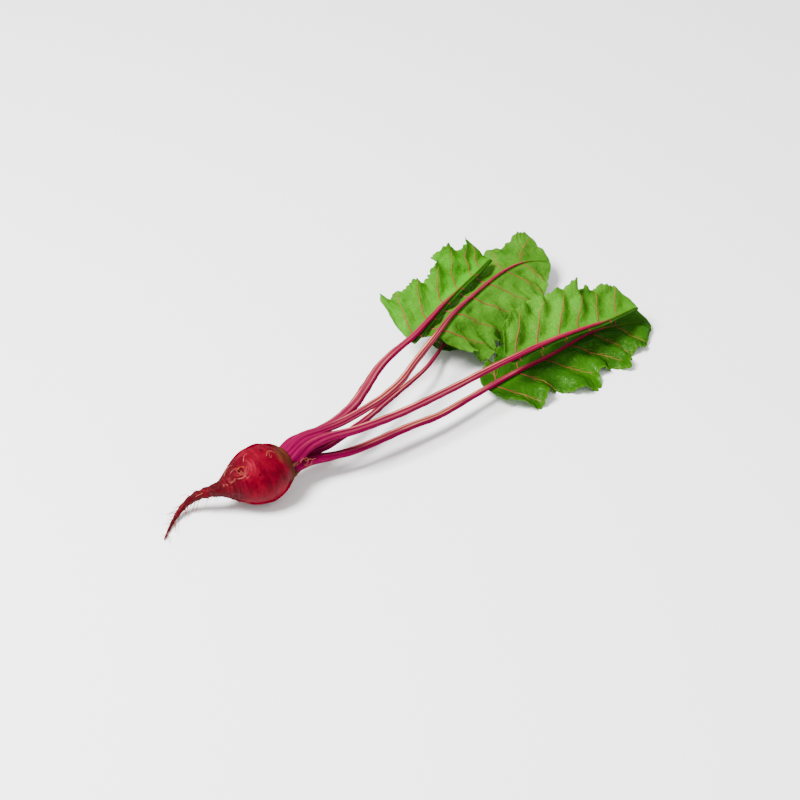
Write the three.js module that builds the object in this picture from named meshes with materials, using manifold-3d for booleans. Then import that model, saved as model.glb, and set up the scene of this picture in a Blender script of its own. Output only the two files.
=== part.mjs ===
import * as THREE from "three";
import { LoftGeometry } from "three/addons/geometries/LoftGeometry.js";
import { mergeVertices } from "three/addons/utils/BufferGeometryUtils.js";
import Module from "manifold-3d";

// A freshly pulled beetroot with its leaves on, lying on its side. Millimetres, +Z up.
// The origin is the middle of the small flat spot that the root rests on, and +X runs from the
// root towards the leaf tips. The crown is at +X, the tap root's tail at -X.

// Root: a squat globe round a nearly level axis, turned a little so that the cone points to the
// left of -X, and drawn out into a long thin tail.
// The profile is [distance along the axis, radius], from the crown back. Its first rows are the
// flat of the crown.
const ROOT_CENTRE_Z = 23.5;
const ROOT_TILT = THREE.MathUtils.degToRad(1);
const ROOT_TURN = THREE.MathUtils.degToRad(9);
const ROOT_SIDES = 28;
const CROWN_ROWS = 3;
const ROOT_PROFILE = [
  [26.8, 3.5], [26.4, 7.6], [24.9, 11], [22, 14.6], [17.4, 18.4], [11.6, 21.6], [5.2, 23.5],
  [-1.2, 24], [-7.6, 23.2], [-13.6, 21.2], [-19, 18.3], [-24, 14.9], [-28.2, 11.8],
  [-31.6, 9.2], [-34.4, 7.4], [-36.8, 6],
];

// Stubs of old leaf bases round the crown, at angles that no stalk takes.
const STUB_ANGLES = [28, 182, 250, 300, 342];
const STUB_RADIUS = 2.2;
const STUB_FOOT = [21.5, 12];
const STUB_TIP = [28.8, 10.6];
const STUB_LEAN = 0.12;

// Tail: from inside the cone down to the surface, then along it. The radii are
// [share of the length, radius].
const TAIL_PATH = [
  [-30.6, 4.9, 23], [-38, 7.5, 22], [-45.5, 13, 19], [-53, 19, 13.5], [-61, 21.5, 7.5],
  [-70.5, 18.5, 3.8], [-81, 12, 2.1], [-91.5, 4, 1.3],
];
const TAIL_RADII = [
  [0, 6.6], [0.1, 5.4], [0.2, 4.5], [0.35, 3.6], [0.5, 2.8], [0.68, 1.8], [0.86, 1], [1, 0.5],
];
const TAIL_SIDES = 8;
const TAIL_STEPS = 24;
const TAIL_KNOBS = 0.09;

// Side roots of the tail, shared out over a stretch of it.
const ROOTLETS = 13;
const ROOTLET_STRETCH = [0.2, 0.82];
const ROOTLET_RADIUS = 0.5;
const ROOTLET_SHORTEST = 4;
const ROOTLET_EXTRA = 11;
const ROOTLET_SWEEP = 0.8;
const ROOTLET_DROOP = 3;
const ROOTLET_LOWEST = 0.7;

// Roots on the skin: [distance along the axis, angle round it, run along, run round, bow].
const SURFACE_ROOT_RADIUS = 0.75;
const SURFACE_ROOTS = [
  [-35, 1.05, 9, -0.1, -0.12], [-31, 1.75, 9, 0.1, 0.3], [-24, 0.95, 9, 0.3, -0.2],
  [-15, 1.5, 6, 0.25, 0.1], [3, 1.3, 8, 0.05, 0.16], [-34, 4.3, 11, 0.2, 0.2],
  [-20, 4.6, 9, -0.3, 0.1],
];

// Blades: sheets of even thickness. The outline rises from the foot and falls to the tip as
// powers of the distance from each.
const BLADE_THICKNESS = 0.9;
const BLADE_STEPS = 46;
const BLADE_COLUMNS = [0, 0.3, 0.58, 0.8, 1];
const BLADE_END = 0.995;
const FOOT_HALF_WIDTH = 1.6;
const OUTLINE_RISE = 0.42;
const OUTLINE_FALL = 0.5;
const WALK_STEPS = 40;

// Stalks and their side veins. A stalk turns to its leaf's facing over the twist share.
const STALK_SIDES = 8;
const STALK_STEP = 11;
const STALK_END = 0.985;
const TWIST_SHARE = 0.16;
const VEIN_SIDES = 4;
const VEIN_STEPS = 6;
const VEIN_REACH = 0.72;

// The room between pieces that meet, the detail that is merged away, the size of the block that
// cuts the root flat, and the start of the seeded draws.
const CLEARANCE = 0.3;
const SIMPLIFY = 0.03;
const CUTTER_SIZE = 400;
const SEED = 20;

// path: the stalk's and midrib's middle line, from inside the crown to the leaf tip.
// baseFacing and facing: the normal of the ribbed side at the crown, and further out.
// bladeFrom: the share of the path where the blade starts.
// stalk: [share of the path, half width, half depth].
// left and right: each half blade's width, the fold it makes with the level at places along it and
// how quickly it gets there, how much it curls on towards its margin, the height, number and phase
// of its ruffles, and single lobes as [place, spread, extra width, lift].
// veins: where side veins leave the midrib. veinSides: 1 left, -1 right, both if left out.
// columns and steps: a blade's own division across and along, where it needs one.
const LEAVES = [
  {
    name: "leaf_1",
    path: [
      [24, -7.6, 28.2], [41, -6.8, 35.8], [58, -13, 40.5], [80, -21, 42], [121, -26, 42],
      [172, -26, 41], [226, -25, 41], [282, -25.5, 40], [318, -27, 37], [345, -27.5, 33.5],
      [388, -22.6, 27],
    ],
    baseFacing: [0, -0.9, 0.45],
    facing: [0, -0.12, 1],
    bladeFrom: 0.595,
    stalk: [
      [0, 4, 2.8], [0.08, 3.6, 2.9], [0.3, 3.2, 2.7], [0.58, 2.7, 2.3], [0.8, 1.5, 1.3], [1, 0.6, 0.5],
    ],
    left: {
      width: 40,
      fold: [[0, 40], [0.5, 34], [1, 24]],
      crease: 9,
      curl: -10,
      ruffle: 3.2,
      waves: 8.5,
      phase: 0.1,
      lobes: [[0.12, 0.1, 9, 4], [0.61, 0.05, 3, 10], [0.9, 0.07, 8, 6]],
    },
    right: {
      width: 18,
      fold: [[0, -125], [0.3, -142], [1, -135]],
      crease: 3,
      curl: -14,
      ruffle: 1.2,
      waves: 5,
      phase: 0.6,
      lobes: [[0.06, 0.06, 3, 0]],
    },
    veins: [0.05, 0.22, 0.4, 0.57, 0.74],
  },
  {
    name: "leaf_2",
    path: [
      [24, -6.5, 20], [43, -8.5, 20.5], [61, -15, 20.5], [84, -20, 20], [134, -22, 18.5],
      [165, -23, 16], [206, -20, 15.5], [253, -17, 15], [291, -16, 13.5], [350, -12, 11],
      [402, -24, 6],
    ],
    baseFacing: [0, 0.6, 0.8],
    facing: [0, 0, 1],
    bladeFrom: 0.52,
    stalk: [
      [0, 4, 2.8], [0.08, 3.7, 2.9], [0.3, 3.2, 2.6], [0.5, 2.6, 2.2], [0.78, 1.4, 1.2], [1, 0.6, 0.5],
    ],
    left: {
      width: 34,
      fold: [[0, 4], [0.6, 14], [1, 20]],
      crease: 9,
      curl: -12,
      ruffle: 2.4,
      waves: 8,
      phase: 0.35,
      lobes: [[0.9, 0.08, 8, 2]],
    },
    right: {
      width: 40,
      fold: [[0, -18], [0.5, -14], [1, -8]],
      crease: 9,
      curl: 6,
      ruffle: 4.2,
      waves: 6.5,
      phase: 0.8,
      lobes: [
        [0.1, 0.04, 7, 1], [0.24, 0.05, -6, 1], [0.42, 0.06, 7, 1], [0.72, 0.09, 12, 2],
        [0.9, 0.06, 12, 3],
      ],
    },
    veins: [0.14, 0.32, 0.5, 0.68],
  },
  {
    name: "leaf_3",
    path: [
      [24, -0.3, 31.6], [41, 1.5, 38.2], [60, -3, 40.6], [80, -5.5, 42], [105, -4.5, 43], [123, -2, 43.5],
      [146, 5, 44], [170, 17, 44.5], [209, 36, 44.5], [240, 52, 43], [278, 66.5, 40], [312, 79, 35.5],
      [341, 86.7, 30], [361, 86.5, 25.5], [378, 81, 20],
    ],
    baseFacing: [0, 0, 1],
    facing: [-0.1, -0.15, 1],
    bladeFrom: 0.52,
    stalk: [
      [0, 4, 2.8], [0.08, 3.6, 2.8], [0.3, 3.1, 2.6], [0.5, 2.6, 2.3], [0.76, 1.5, 1.3], [1, 0.6, 0.5],
    ],
    left: {
      width: 38,
      fold: [[0, -46], [0.3, -36], [0.62, -30], [0.8, -12], [0.9, 14], [1, 26]],
      crease: 4,
      curl: -8,
      ruffle: 2.6,
      waves: 9,
      phase: 0.2,
      lobes: [[0.87, 0.1, 8, 2]],
    },
    right: {
      width: 47,
      fold: [[0, -36], [0.5, -22], [1, -12]],
      crease: 9,
      curl: -12,
      ruffle: 3.4,
      waves: 9,
      phase: 0.55,
      lobes: [[0.14, 0.1, 8, 0], [0.55, 0.16, 7, 0], [0.86, 0.1, 4, 2]],
    },
    veins: [0.05, 0.2, 0.36, 0.53, 0.7],
  },
  {
    name: "leaf_4",
    path: [
      [24, 5.7, 28], [38, 9, 32], [56, 8.5, 30.5], [79, 10.5, 29], [106, 19, 28], [128, 31, 28],
      [151, 43, 30.5], [168.9, 47.5, 34.5], [193.3, 50.6, 39.5], [216.2, 57.1, 43], [244.2, 68.1, 44],
      [273.2, 79.1, 43.5], [296.2, 88.1, 42], [322, 101.1, 38],
    ],
    baseFacing: [0, 0.8, 0.55],
    facing: [-0.1, 0, 1],
    bladeFrom: 0.56,
    stalk: [
      [0, 4, 2.8], [0.08, 4.2, 2.8], [0.3, 4.4, 2.7], [0.54, 3.2, 2.5], [0.78, 1.6, 1.3], [1, 0.6, 0.5],
    ],
    left: {
      width: 38,
      fold: [[0, 22], [0.25, 38], [0.5, 54], [1, 54]],
      crease: 9,
      curl: -12,
      ruffle: 4,
      waves: 5,
      phase: 0.7,
      lobes: [[0.1, 0.07, 27, 0], [0.45, 0.12, -9, 0], [0.72, 0.07, 3, 1], [0.97, 0.06, 34, 0]],
    },
    right: {
      width: 36,
      fold: [[0, -158], [0.25, -178], [0.5, -196], [1, -196]],
      crease: 5,
      curl: 12,
      ruffle: 2,
      waves: 6,
      phase: 0.3,
      lobes: [[0.1, 0.08, 3, 0]],
    },
    veins: [0.05, 0.22, 0.4, 0.58, 0.76],
    veinSides: [1],
    columns: [0, 0.09, 0.2, 0.45, 0.75, 1],
  },
  {
    name: "leaf_5",
    path: [
      [24, 2, 20], [38, 1, 21.4], [54, -4.5, 23.6], [69, -5.5, 25], [104, 1, 25], [130, 9, 24],
      [154, 17, 22], [177, 25, 19.5], [201, 36, 16], [236, 57, 10.5], [268, 71, 6.5], [300, 82, 3.2],
    ],
    baseFacing: [0, -0.55, 0.83],
    facing: [0, 0, 1],
    bladeFrom: 0.73,
    stalk: [[0, 3.8, 2.7], [0.1, 3.1, 2.5], [0.35, 2.6, 2.2], [0.66, 1.9, 1.7], [1, 0.6, 0.5]],
    left: {
      width: 14,
      fold: [[0, -8], [1, -8]],
      crease: 8,
      curl: -10,
      ruffle: 1,
      waves: 4,
      phase: 0.1,
      lobes: [],
    },
    right: {
      width: 15,
      fold: [[0, -8], [1, -8]],
      crease: 8,
      curl: -10,
      ruffle: 1,
      waves: 4,
      phase: 0.6,
      lobes: [],
    },
    veins: [0.2, 0.45],
    steps: 20,
  },
];

const COLOURS = {
  root: { color: 0x8a1230, roughness: 0.42, metalness: 0 },
  stalk: { color: 0xb0245a, roughness: 0.4, metalness: 0 },
  blade: { color: 0x4a8c26, roughness: 0.5, metalness: 0 },
};

const wasm = await Module();
wasm.setup();

const vector = (numbers) => new THREE.Vector3(...numbers);
const curveThrough = (points) => new THREE.CatmullRomCurve3(points.map(vector), false, "catmullrom", 0.5);
const smooth = (x) => THREE.MathUtils.smoothstep(x, 0, 1);

// A seeded draw from 0 to 1, so that the small roots fall in the same places each time.
let seed = SEED;
function draw() {
  seed = (seed * 16807) % 2147483647;
  return seed / 2147483647;
}

// Reads a list of [place, value, value...] rows at a place between them, in straight stretches.
function readRows(rows, place, column = 1) {
  const next = rows.findIndex((row) => row[0] >= place);
  if (next <= 0) return next === 0 ? rows[0][column] : rows[rows.length - 1][column];
  const [a, b] = [rows[next - 1], rows[next]];
  return THREE.MathUtils.lerp(a[column], b[column], (place - a[0]) / (b[0] - a[0]));
}

// A closed geometry as a manifold-3d solid, and back.
function solidOf(geometry) {
  const plain = new THREE.BufferGeometry().copy(geometry);
  plain.deleteAttribute("normal");
  plain.deleteAttribute("uv");
  const merged = mergeVertices(plain, 1e-4);
  const vertProperties = new Float32Array(merged.attributes.position.array);
  const triVerts = new Uint32Array(merged.index.array);
  return new wasm.Manifold(new wasm.Mesh({ numProp: 3, vertProperties, triVerts }));
}

function geometryOf(solid) {
  const mesh = solid.getMesh();
  const geometry = new THREE.BufferGeometry();
  geometry.setAttribute("position", new THREE.BufferAttribute(mesh.vertProperties, 3));
  geometry.setIndex(new THREE.BufferAttribute(mesh.triVerts, 1));
  geometry.computeVertexNormals();
  return geometry;
}

// The union of overlapping solids, without any scrap that came loose from the largest piece.
function fuse(solids) {
  const pieces = wasm.Manifold.union(solids).simplify(SIMPLIFY).decompose();
  return pieces.sort((a, b) => b.volume() - a.volume())[0];
}

function closedLoft(sections) {
  return solidOf(new LoftGeometry(sections, { capStart: true, capEnd: true }));
}

// A round rod of changing radius along a curve. Its section stays square to a fixed sideways vector.
function rod(curve, radiusAt, sides, steps, sideways = new THREE.Vector3(0, 0, 1)) {
  const sections = [];
  for (let i = 0; i <= steps; i++) {
    const t = i / steps;
    const along = curve.getTangentAt(t);
    const normal = sideways.clone().addScaledVector(along, -sideways.dot(along)).normalize();
    const across = normal.clone().cross(along);
    sections.push(ring(curve.getPointAt(t), across, normal, sides, () => radiusAt(t)));
  }
  return closedLoft(sections);
}

// One closed section: points round a centre, at radius(angle) times the two axes.
function ring(centre, axisA, axisB, sides, radius) {
  return Array.from({ length: sides }, (_, k) => {
    const angle = (k / sides) * Math.PI * 2;
    return centre.clone()
      .addScaledVector(axisA, Math.cos(angle) * radius(angle))
      .addScaledVector(axisB, Math.sin(angle) * radius(angle));
  });
}

// Root
const upright = new THREE.Vector3(0, 0, 1);
const turned = (x, y, z) => new THREE.Vector3(x, y, z).applyAxisAngle(upright, -ROOT_TURN);
const rootAxis = turned(Math.cos(ROOT_TILT), 0, Math.sin(ROOT_TILT));
const rootUp = turned(-Math.sin(ROOT_TILT), 0, Math.cos(ROOT_TILT));
const rootSide = turned(0, -1, 0);
const rootCentre = new THREE.Vector3(0, 0, ROOT_CENTRE_Z);

// How far the skin departs from the round profile, as a share of the radius: slow swells all
// round, and transverse wrinkles that fade in towards the cone.
function rootRelief(distance, angle) {
  const swells = 0.016 * Math.cos(2 * angle + 0.7) + 0.011 * Math.cos(3 * angle - distance * 0.05);
  const nearCone = smooth((-16 - distance) / 14);
  return swells + nearCone * 0.035 * Math.sin(distance * 1.9 + 1.3 * Math.sin(angle));
}

function rootPoint(distance, radius, angle) {
  return rootCentre.clone()
    .addScaledVector(rootAxis, distance)
    .addScaledVector(rootSide, Math.cos(angle) * radius)
    .addScaledVector(rootUp, Math.sin(angle) * radius);
}

function rootGlobe(grow = 0) {
  const sections = ROOT_PROFILE.map(([distance, radius], i) => {
    const place = distance + (i < CROWN_ROWS ? grow : 0);
    const centre = rootPoint(place, 0, 0);
    return ring(centre, rootSide, rootUp, ROOT_SIDES,
      (angle) => radius * (1 + rootRelief(distance, angle)) + grow);
  });
  return closedLoft(sections);
}

const tailCurve = curveThrough(TAIL_PATH);

function tail() {
  const knob = (t) => 1 + TAIL_KNOBS * Math.sin(t * 61) * smooth(t / 0.2);
  return rod(tailCurve, (t) => readRows(TAIL_RADII, t) * knob(t), TAIL_SIDES, TAIL_STEPS);
}

// One side root of the tail: it starts inside, leaves sideways and droops as it sweeps on.
function rootlet(index) {
  const [from, to] = ROOTLET_STRETCH;
  const t = from + ((to - from) * (index + 0.5 * draw())) / ROOTLETS;
  const start = tailCurve.getPointAt(t);
  const along = tailCurve.getTangentAt(t);
  const turn = draw() * Math.PI * 2;
  const length = readRows(TAIL_RADII, t) + ROOTLET_SHORTEST + ROOTLET_EXTRA * draw() * draw();
  const out = new THREE.Vector3(0, Math.cos(turn), 0.2 + Math.sin(turn)).normalize();
  const points = [0, 0.35, 0.7, 1].map((share) => {
    const point = start.clone()
      .addScaledVector(out, length * share)
      .addScaledVector(along, length * share * share * ROOTLET_SWEEP);
    point.z = Math.max(point.z - ROOTLET_DROOP * share * share, ROOTLET_LOWEST);
    return point;
  });
  const curve = new THREE.CatmullRomCurve3(points);
  return rod(curve, (s) => ROOTLET_RADIUS * (1 - 0.45 * s), 4, 4, along);
}

// A thin root that hugs the skin, half sunk in it, bowing sideways on its way.
function surfaceRoot([startDistance, startAngle, distanceRun, angleRun, bow]) {
  const points = [0, 0.25, 0.5, 0.75, 1].map((share) => {
    const distance = startDistance + distanceRun * share;
    const angle = startAngle + angleRun * share + bow * Math.sin(Math.PI * share);
    const skin = radiusOfRoot(distance) * (1 + rootRelief(distance, angle));
    return rootPoint(distance, skin + 0.2 * SURFACE_ROOT_RADIUS, angle);
  });
  const curve = new THREE.CatmullRomCurve3(points);
  return rod(curve, (s) => SURFACE_ROOT_RADIUS * (1 - 0.4 * s), 4, 7, rootAxis);
}

function radiusOfRoot(distance) {
  const rising = ROOT_PROFILE.slice().reverse();
  return readRows(rising, distance);
}

// The stub of an old leaf base: a short tapered peg at an angle round the crown.
function crownStub(angle) {
  const foot = rootPoint(...STUB_FOOT, angle);
  const tip = rootPoint(STUB_TIP[0] + draw(), STUB_TIP[1], angle + STUB_LEAN);
  const curve = new THREE.CatmullRomCurve3([foot, foot.clone().lerp(tip, 0.5), tip]);
  const outwards = rootPoint(0, 1, angle).sub(rootCentre);
  return rod(curve, (s) => STUB_RADIUS * (1 - 0.72 * s), 5, 3, outwards);
}

function root() {
  const loose = [rootGlobe(), tail()];
  for (let i = 0; i < ROOTLETS; i++) loose.push(rootlet(i));
  for (const row of SURFACE_ROOTS) loose.push(surfaceRoot(row));
  for (const angle of STUB_ANGLES) loose.push(crownStub(THREE.MathUtils.degToRad(angle)));
  const floor = new THREE.BoxGeometry(CUTTER_SIZE, CUTTER_SIZE, CUTTER_SIZE);
  floor.translate(0, 0, -CUTTER_SIZE / 2);
  return fuse(loose).subtract(solidOf(floor));
}

// Leaves
//
// Where the middle line of a leaf runs at a share of its length: the place, the way along,
// the normal of its visible side, and the way across to its left.
function frameAt(leaf, t) {
  const point = leaf.curve.getPointAt(t);
  const along = leaf.curve.getTangentAt(t);
  const facing = vector(leaf.baseFacing).lerp(vector(leaf.facing), smooth(t / TWIST_SHARE));
  const normal = facing.addScaledVector(along, -facing.dot(along)).normalize();
  return { point, along, normal, across: normal.clone().cross(along) };
}

// A stalk's section: an ellipse with four low ridges, drawn from its half width and half depth.
function stalkSection(leaf, t) {
  const { point, normal, across } = frameAt(leaf, t);
  const halfWidth = readRows(leaf.stalk, t, 1);
  const halfDepth = readRows(leaf.stalk, t, 2);
  const axisA = across.multiplyScalar(halfWidth);
  const axisB = normal.multiplyScalar(halfDepth);
  return ring(point, axisA, axisB, STALK_SIDES, (angle) => 0.95 + 0.05 * Math.cos(4 * angle));
}

// Share of the full half width at a share s of the blade: swells quickly from the stalk,
// is widest just before the middle, and closes in a round tip.
function bladeOutline(s) {
  const widest = OUTLINE_RISE / (OUTLINE_RISE + OUTLINE_FALL);
  const shape = (x) => Math.pow(x, OUTLINE_RISE) * Math.pow(1 - x, OUTLINE_FALL);
  return shape(THREE.MathUtils.clamp(s, 0, 1)) / shape(widest);
}

// The sum of a half blade's single lobes at a place: their width (column 2) or lift (column 3).
function lobesAt(side, s, column) {
  const share = (lobe) => Math.exp(-(((s - lobe[0]) / lobe[1]) ** 2));
  return side.lobes.reduce((sum, lobe) => sum + lobe[column] * share(lobe), 0);
}

function halfWidth(side, s) {
  const slowWave = 1 + 0.05 * Math.sin(2 * Math.PI * (side.waves * 0.5 * s + side.phase));
  return FOOT_HALF_WIDTH + (side.width * slowWave + lobesAt(side, s, 2)) * bladeOutline(s);
}

// A point of the blade's middle surface. s runs from the blade's foot to its tip, and v from -1
// at the right margin over 0 at the midrib to 1 at the left one. The half blade is walked
// outwards from under the rib, turning by its fold and then by its curl, and ruffled square to
// itself by an amount that grows with the cube of v. Nothing goes below the surface it lies on.
function bladePoint(leaf, s, v) {
  const t = leaf.bladeFrom + (BLADE_END - leaf.bladeFrom) * s;
  const { point, normal, across } = frameAt(leaf, t);
  const side = v < 0 ? leaf.right : leaf.left;
  const outwards = across.multiplyScalar(v < 0 ? -1 : 1);
  const reach = Math.abs(v) * halfWidth(side, s);
  const ribWidth = readRows(leaf.stalk, t, 1);
  const ribDepth = readRows(leaf.stalk, t, 2);
  const fold = THREE.MathUtils.degToRad(readRows(side.fold, s));
  const curl = THREE.MathUtils.degToRad(side.curl);
  const angleAt = (x) => {
    const folded = fold * smooth((x - 0.6 * ribWidth) / side.crease);
    return folded + curl * Math.pow(x / (side.width + 1), 2);
  };
  let out = 0;
  let rise = -(ribDepth + CLEARANCE + BLADE_THICKNESS / 2);
  for (let k = 0; k < WALK_STEPS; k++) {
    const angle = angleAt(((k + 0.5) / WALK_STEPS) * reach);
    out += (Math.cos(angle) * reach) / WALK_STEPS;
    rise += (Math.sin(angle) * reach) / WALK_STEPS;
  }
  const waves = Math.sin(2 * Math.PI * (side.waves * s + side.phase))
    + 0.35 * Math.sin(2 * Math.PI * (side.waves * 1.36 * s + 2.3 * side.phase));
  const height = side.ruffle * waves * smooth(Math.min(s, 1 - s) * 9) + lobesAt(side, s, 3);
  const ruffle = height * Math.pow(Math.abs(v), 3);
  const edge = angleAt(reach);
  out -= Math.sin(edge) * ruffle;
  rise += Math.cos(edge) * ruffle;
  const found = point.addScaledVector(outwards, out).addScaledVector(normal, rise);
  found.z = layOnFloor(found.z);
  return found;
}

// Eases a height so that the sheet's middle never comes below half its thickness.
function layOnFloor(z) {
  const lowest = BLADE_THICKNESS / 2;
  const softness = 0.8;
  const above = (z - lowest) / softness;
  return lowest + softness * (above > 20 ? above : Math.log1p(Math.exp(above)));
}

// The grid of a blade's middle surface with its normals. Rows are closer at the foot and tip.
function bladeGrid(leaf) {
  const rows = leaf.steps ?? BLADE_STEPS;
  const half = leaf.columns ?? BLADE_COLUMNS;
  const columns = [...half.slice(1).reverse().map((v) => -v), ...half];
  const share = (i) => i / rows - 0.055 * Math.sin((2 * Math.PI * i) / rows);
  const points = [];
  for (let i = 0; i <= rows; i++) points.push(columns.map((v) => bladePoint(leaf, share(i), v)));
  const within = (k, most) => THREE.MathUtils.clamp(k, 0, most);
  const at = (i, j) => points[within(i, rows)][within(j, columns.length - 1)];
  const normals = points.map((row, i) => row.map((_, j) => {
    const along = at(i + 1, j).clone().sub(at(i - 1, j));
    const across = at(i, j + 1).clone().sub(at(i, j - 1));
    return along.cross(across).normalize();
  }));
  return { rows, columns, share, points, normals };
}

// A sheet of even thickness round the grid, its two faces split into triangles alike.
function bladeSolid(grid, thickness = BLADE_THICKNESS) {
  const { points, normals } = grid;
  const width = points[0].length;
  const positions = [];
  for (const offset of [thickness / 2, -thickness / 2]) {
    points.forEach((row, i) => row.forEach((point, j) => {
      positions.push(...point.clone().addScaledVector(normals[i][j], offset).toArray());
    }));
  }
  const under = points.length * width;
  const index = [];
  const quad = (a, b, c, d) => index.push(a, b, c, a, c, d);
  for (let i = 0; i + 1 < points.length; i++) {
    for (let j = 0; j + 1 < width; j++) {
      const a = i * width + j;
      const b = a + width;
      quad(a, b, b + 1, a + 1);
      index.push(under + a, under + b + 1, under + b, under + a, under + a + 1, under + b + 1);
    }
    const [first, last] = [i * width, i * width + width - 1];
    quad(first, first + under, first + under + width, first + width);
    quad(last + width, last + width + under, last + under, last);
  }
  const lastRow = (points.length - 1) * width;
  for (let j = 0; j + 1 < width; j++) {
    quad(j + 1, j + 1 + under, j + under, j);
    quad(lastRow + j, lastRow + j + under, lastRow + j + 1 + under, lastRow + j + 1);
  }
  const geometry = new THREE.BufferGeometry();
  geometry.setAttribute("position", new THREE.Float32BufferAttribute(positions, 3));
  geometry.setIndex(index);
  return solidOf(geometry);
}

// A place on the grid between its rows and columns, with the normal there.
function onGrid(grid, s, v) {
  const { rows, columns, share, points, normals } = grid;
  let i = 0;
  while (i < rows - 1 && share(i + 1) < s) i++;
  let j = 0;
  while (j < columns.length - 2 && columns[j + 1] < v) j++;
  const down = (s - share(i)) / (share(i + 1) - share(i));
  const over = (v - columns[j]) / (columns[j + 1] - columns[j]);
  const blend = (table) => {
    const near = table[i][j].clone().lerp(table[i][j + 1], over);
    return near.lerp(table[i + 1][j].clone().lerp(table[i + 1][j + 1], over), down);
  };
  return { point: blend(points), normal: blend(normals).normalize() };
}

// A side vein: a slim raised rib that leaves the midrib and runs out and forwards on the blade,
// thinner towards its end and nearer the leaf tip.
function vein(leaf, grid, start, sign) {
  const side = sign < 0 ? leaf.right : leaf.left;
  const bladeLength = leaf.curve.getLength() * (1 - leaf.bladeFrom);
  const thickness = 1 - 0.35 * start;
  const radius = (k) => thickness * (1 - 0.4 * (k / VEIN_STEPS));
  const points = [];
  const facings = [];
  for (let k = 0; k <= VEIN_STEPS; k++) {
    const v = (k / VEIN_STEPS) * VEIN_REACH;
    const reach = v * halfWidth(side, start);
    const s = start + (0.5 * reach + 0.25 * reach * v) / bladeLength;
    const { point, normal } = onGrid(grid, s, sign * v);
    points.push(point.addScaledVector(normal, BLADE_THICKNESS / 2 + CLEARANCE + 0.15 + radius(k)));
    facings.push(normal);
  }
  const sections = points.map((point, k) => {
    const next = points[Math.min(k + 1, VEIN_STEPS)];
    const ahead = next.clone().sub(points[Math.max(k - 1, 0)]).normalize();
    const normal = facings[k].addScaledVector(ahead, -facings[k].dot(ahead)).normalize();
    const across = normal.clone().cross(ahead);
    return ring(point, across, normal, VEIN_SIDES, () => radius(k));
  });
  return closedLoft(sections);
}

// A leaf's stalk, midrib and side veins in one, kept clear of the crown and of the blade.
function stalkSolid(leaf, grid, crown) {
  const steps = Math.round(leaf.curve.getLength() / STALK_STEP);
  const sections = [];
  for (let i = 0; i <= steps; i++) sections.push(stalkSection(leaf, (STALK_END * i) / steps));
  const room = bladeSolid(grid, BLADE_THICKNESS + 2 * CLEARANCE);
  const solids = [closedLoft(sections).subtract(crown)];
  for (const start of leaf.veins) {
    for (const sign of leaf.veinSides ?? [-1, 1]) {
      solids.push(vein(leaf, grid, start, sign).subtract(room));
    }
  }
  return fuse(solids);
}

// The whole plant
function named(name, solid, look) {
  const mesh = new THREE.Mesh(geometryOf(solid), new THREE.MeshStandardMaterial(look));
  mesh.name = name;
  return mesh;
}

const beetroot = new THREE.Group();
beetroot.add(named("beet_root", root(), COLOURS.root));
const crown = rootGlobe(CLEARANCE);
for (const leaf of LEAVES) {
  leaf.curve = curveThrough(leaf.path);
  const grid = bladeGrid(leaf);
  beetroot.add(named(leaf.name + "_stalk", stalkSolid(leaf, grid, crown), COLOURS.stalk));
  beetroot.add(named(leaf.name + "_blade", bladeSolid(grid), COLOURS.blade));
}

export default beetroot;
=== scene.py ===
import math

import bpy
import numpy as np
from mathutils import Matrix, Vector


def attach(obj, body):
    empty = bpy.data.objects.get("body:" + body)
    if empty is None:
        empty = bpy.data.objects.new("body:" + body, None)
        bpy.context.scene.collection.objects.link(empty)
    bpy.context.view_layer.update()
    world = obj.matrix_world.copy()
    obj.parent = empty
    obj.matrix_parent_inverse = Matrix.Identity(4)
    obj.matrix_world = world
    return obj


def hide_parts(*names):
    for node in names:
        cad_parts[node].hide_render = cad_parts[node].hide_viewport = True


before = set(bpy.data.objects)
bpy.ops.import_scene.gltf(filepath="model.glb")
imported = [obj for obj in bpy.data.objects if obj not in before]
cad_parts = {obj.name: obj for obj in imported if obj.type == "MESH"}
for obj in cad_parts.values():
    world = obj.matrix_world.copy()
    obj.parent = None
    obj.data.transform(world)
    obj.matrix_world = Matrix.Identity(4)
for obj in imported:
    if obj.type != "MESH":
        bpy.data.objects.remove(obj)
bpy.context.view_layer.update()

# Lengths are worked out in millimetres and go into the meshes as metres.
MM = 0.001
FULL_TURN = 2 * math.pi

# Root: the squat globe on its nearly level axis, its cone and its tail, swept along one line.
ROOT_CENTRE_Z = 23.5
ROOT_TILT = math.radians(1)
ROOT_TURN = math.radians(9)
ROOT_PROFILE = [
    [27, 0], [26.9, 3.5], [26.4, 7.6], [24.9, 11], [22, 14.6], [17.4, 18.4], [11.6, 21.6],
    [5.2, 23.5], [-1.2, 24], [-7.6, 23.2], [-13.6, 21.2], [-19, 18.3], [-24, 14.9], [-28.2, 11.8],
    [-31.6, 9.2], [-34.4, 7.4], [-36.8, 6.1],
]
TAIL_PATH = [
    [-30.6, 4.9, 23], [-38, 7.5, 22], [-45.5, 13, 19], [-53, 19, 13.5], [-61, 21.5, 7.5],
    [-70.5, 18.5, 3.8], [-81, 12, 2.1], [-91.5, 4, 1.3],
]
TAIL_START = -31
# [share of the tail's length, radius]
TAIL_RADII = [
    [0, 6.6], [0.1, 5.4], [0.2, 4.5], [0.35, 3.6], [0.5, 2.8], [0.68, 1.8], [0.86, 1], [1, 0.5],
]
ROOTLETS = 13
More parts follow.
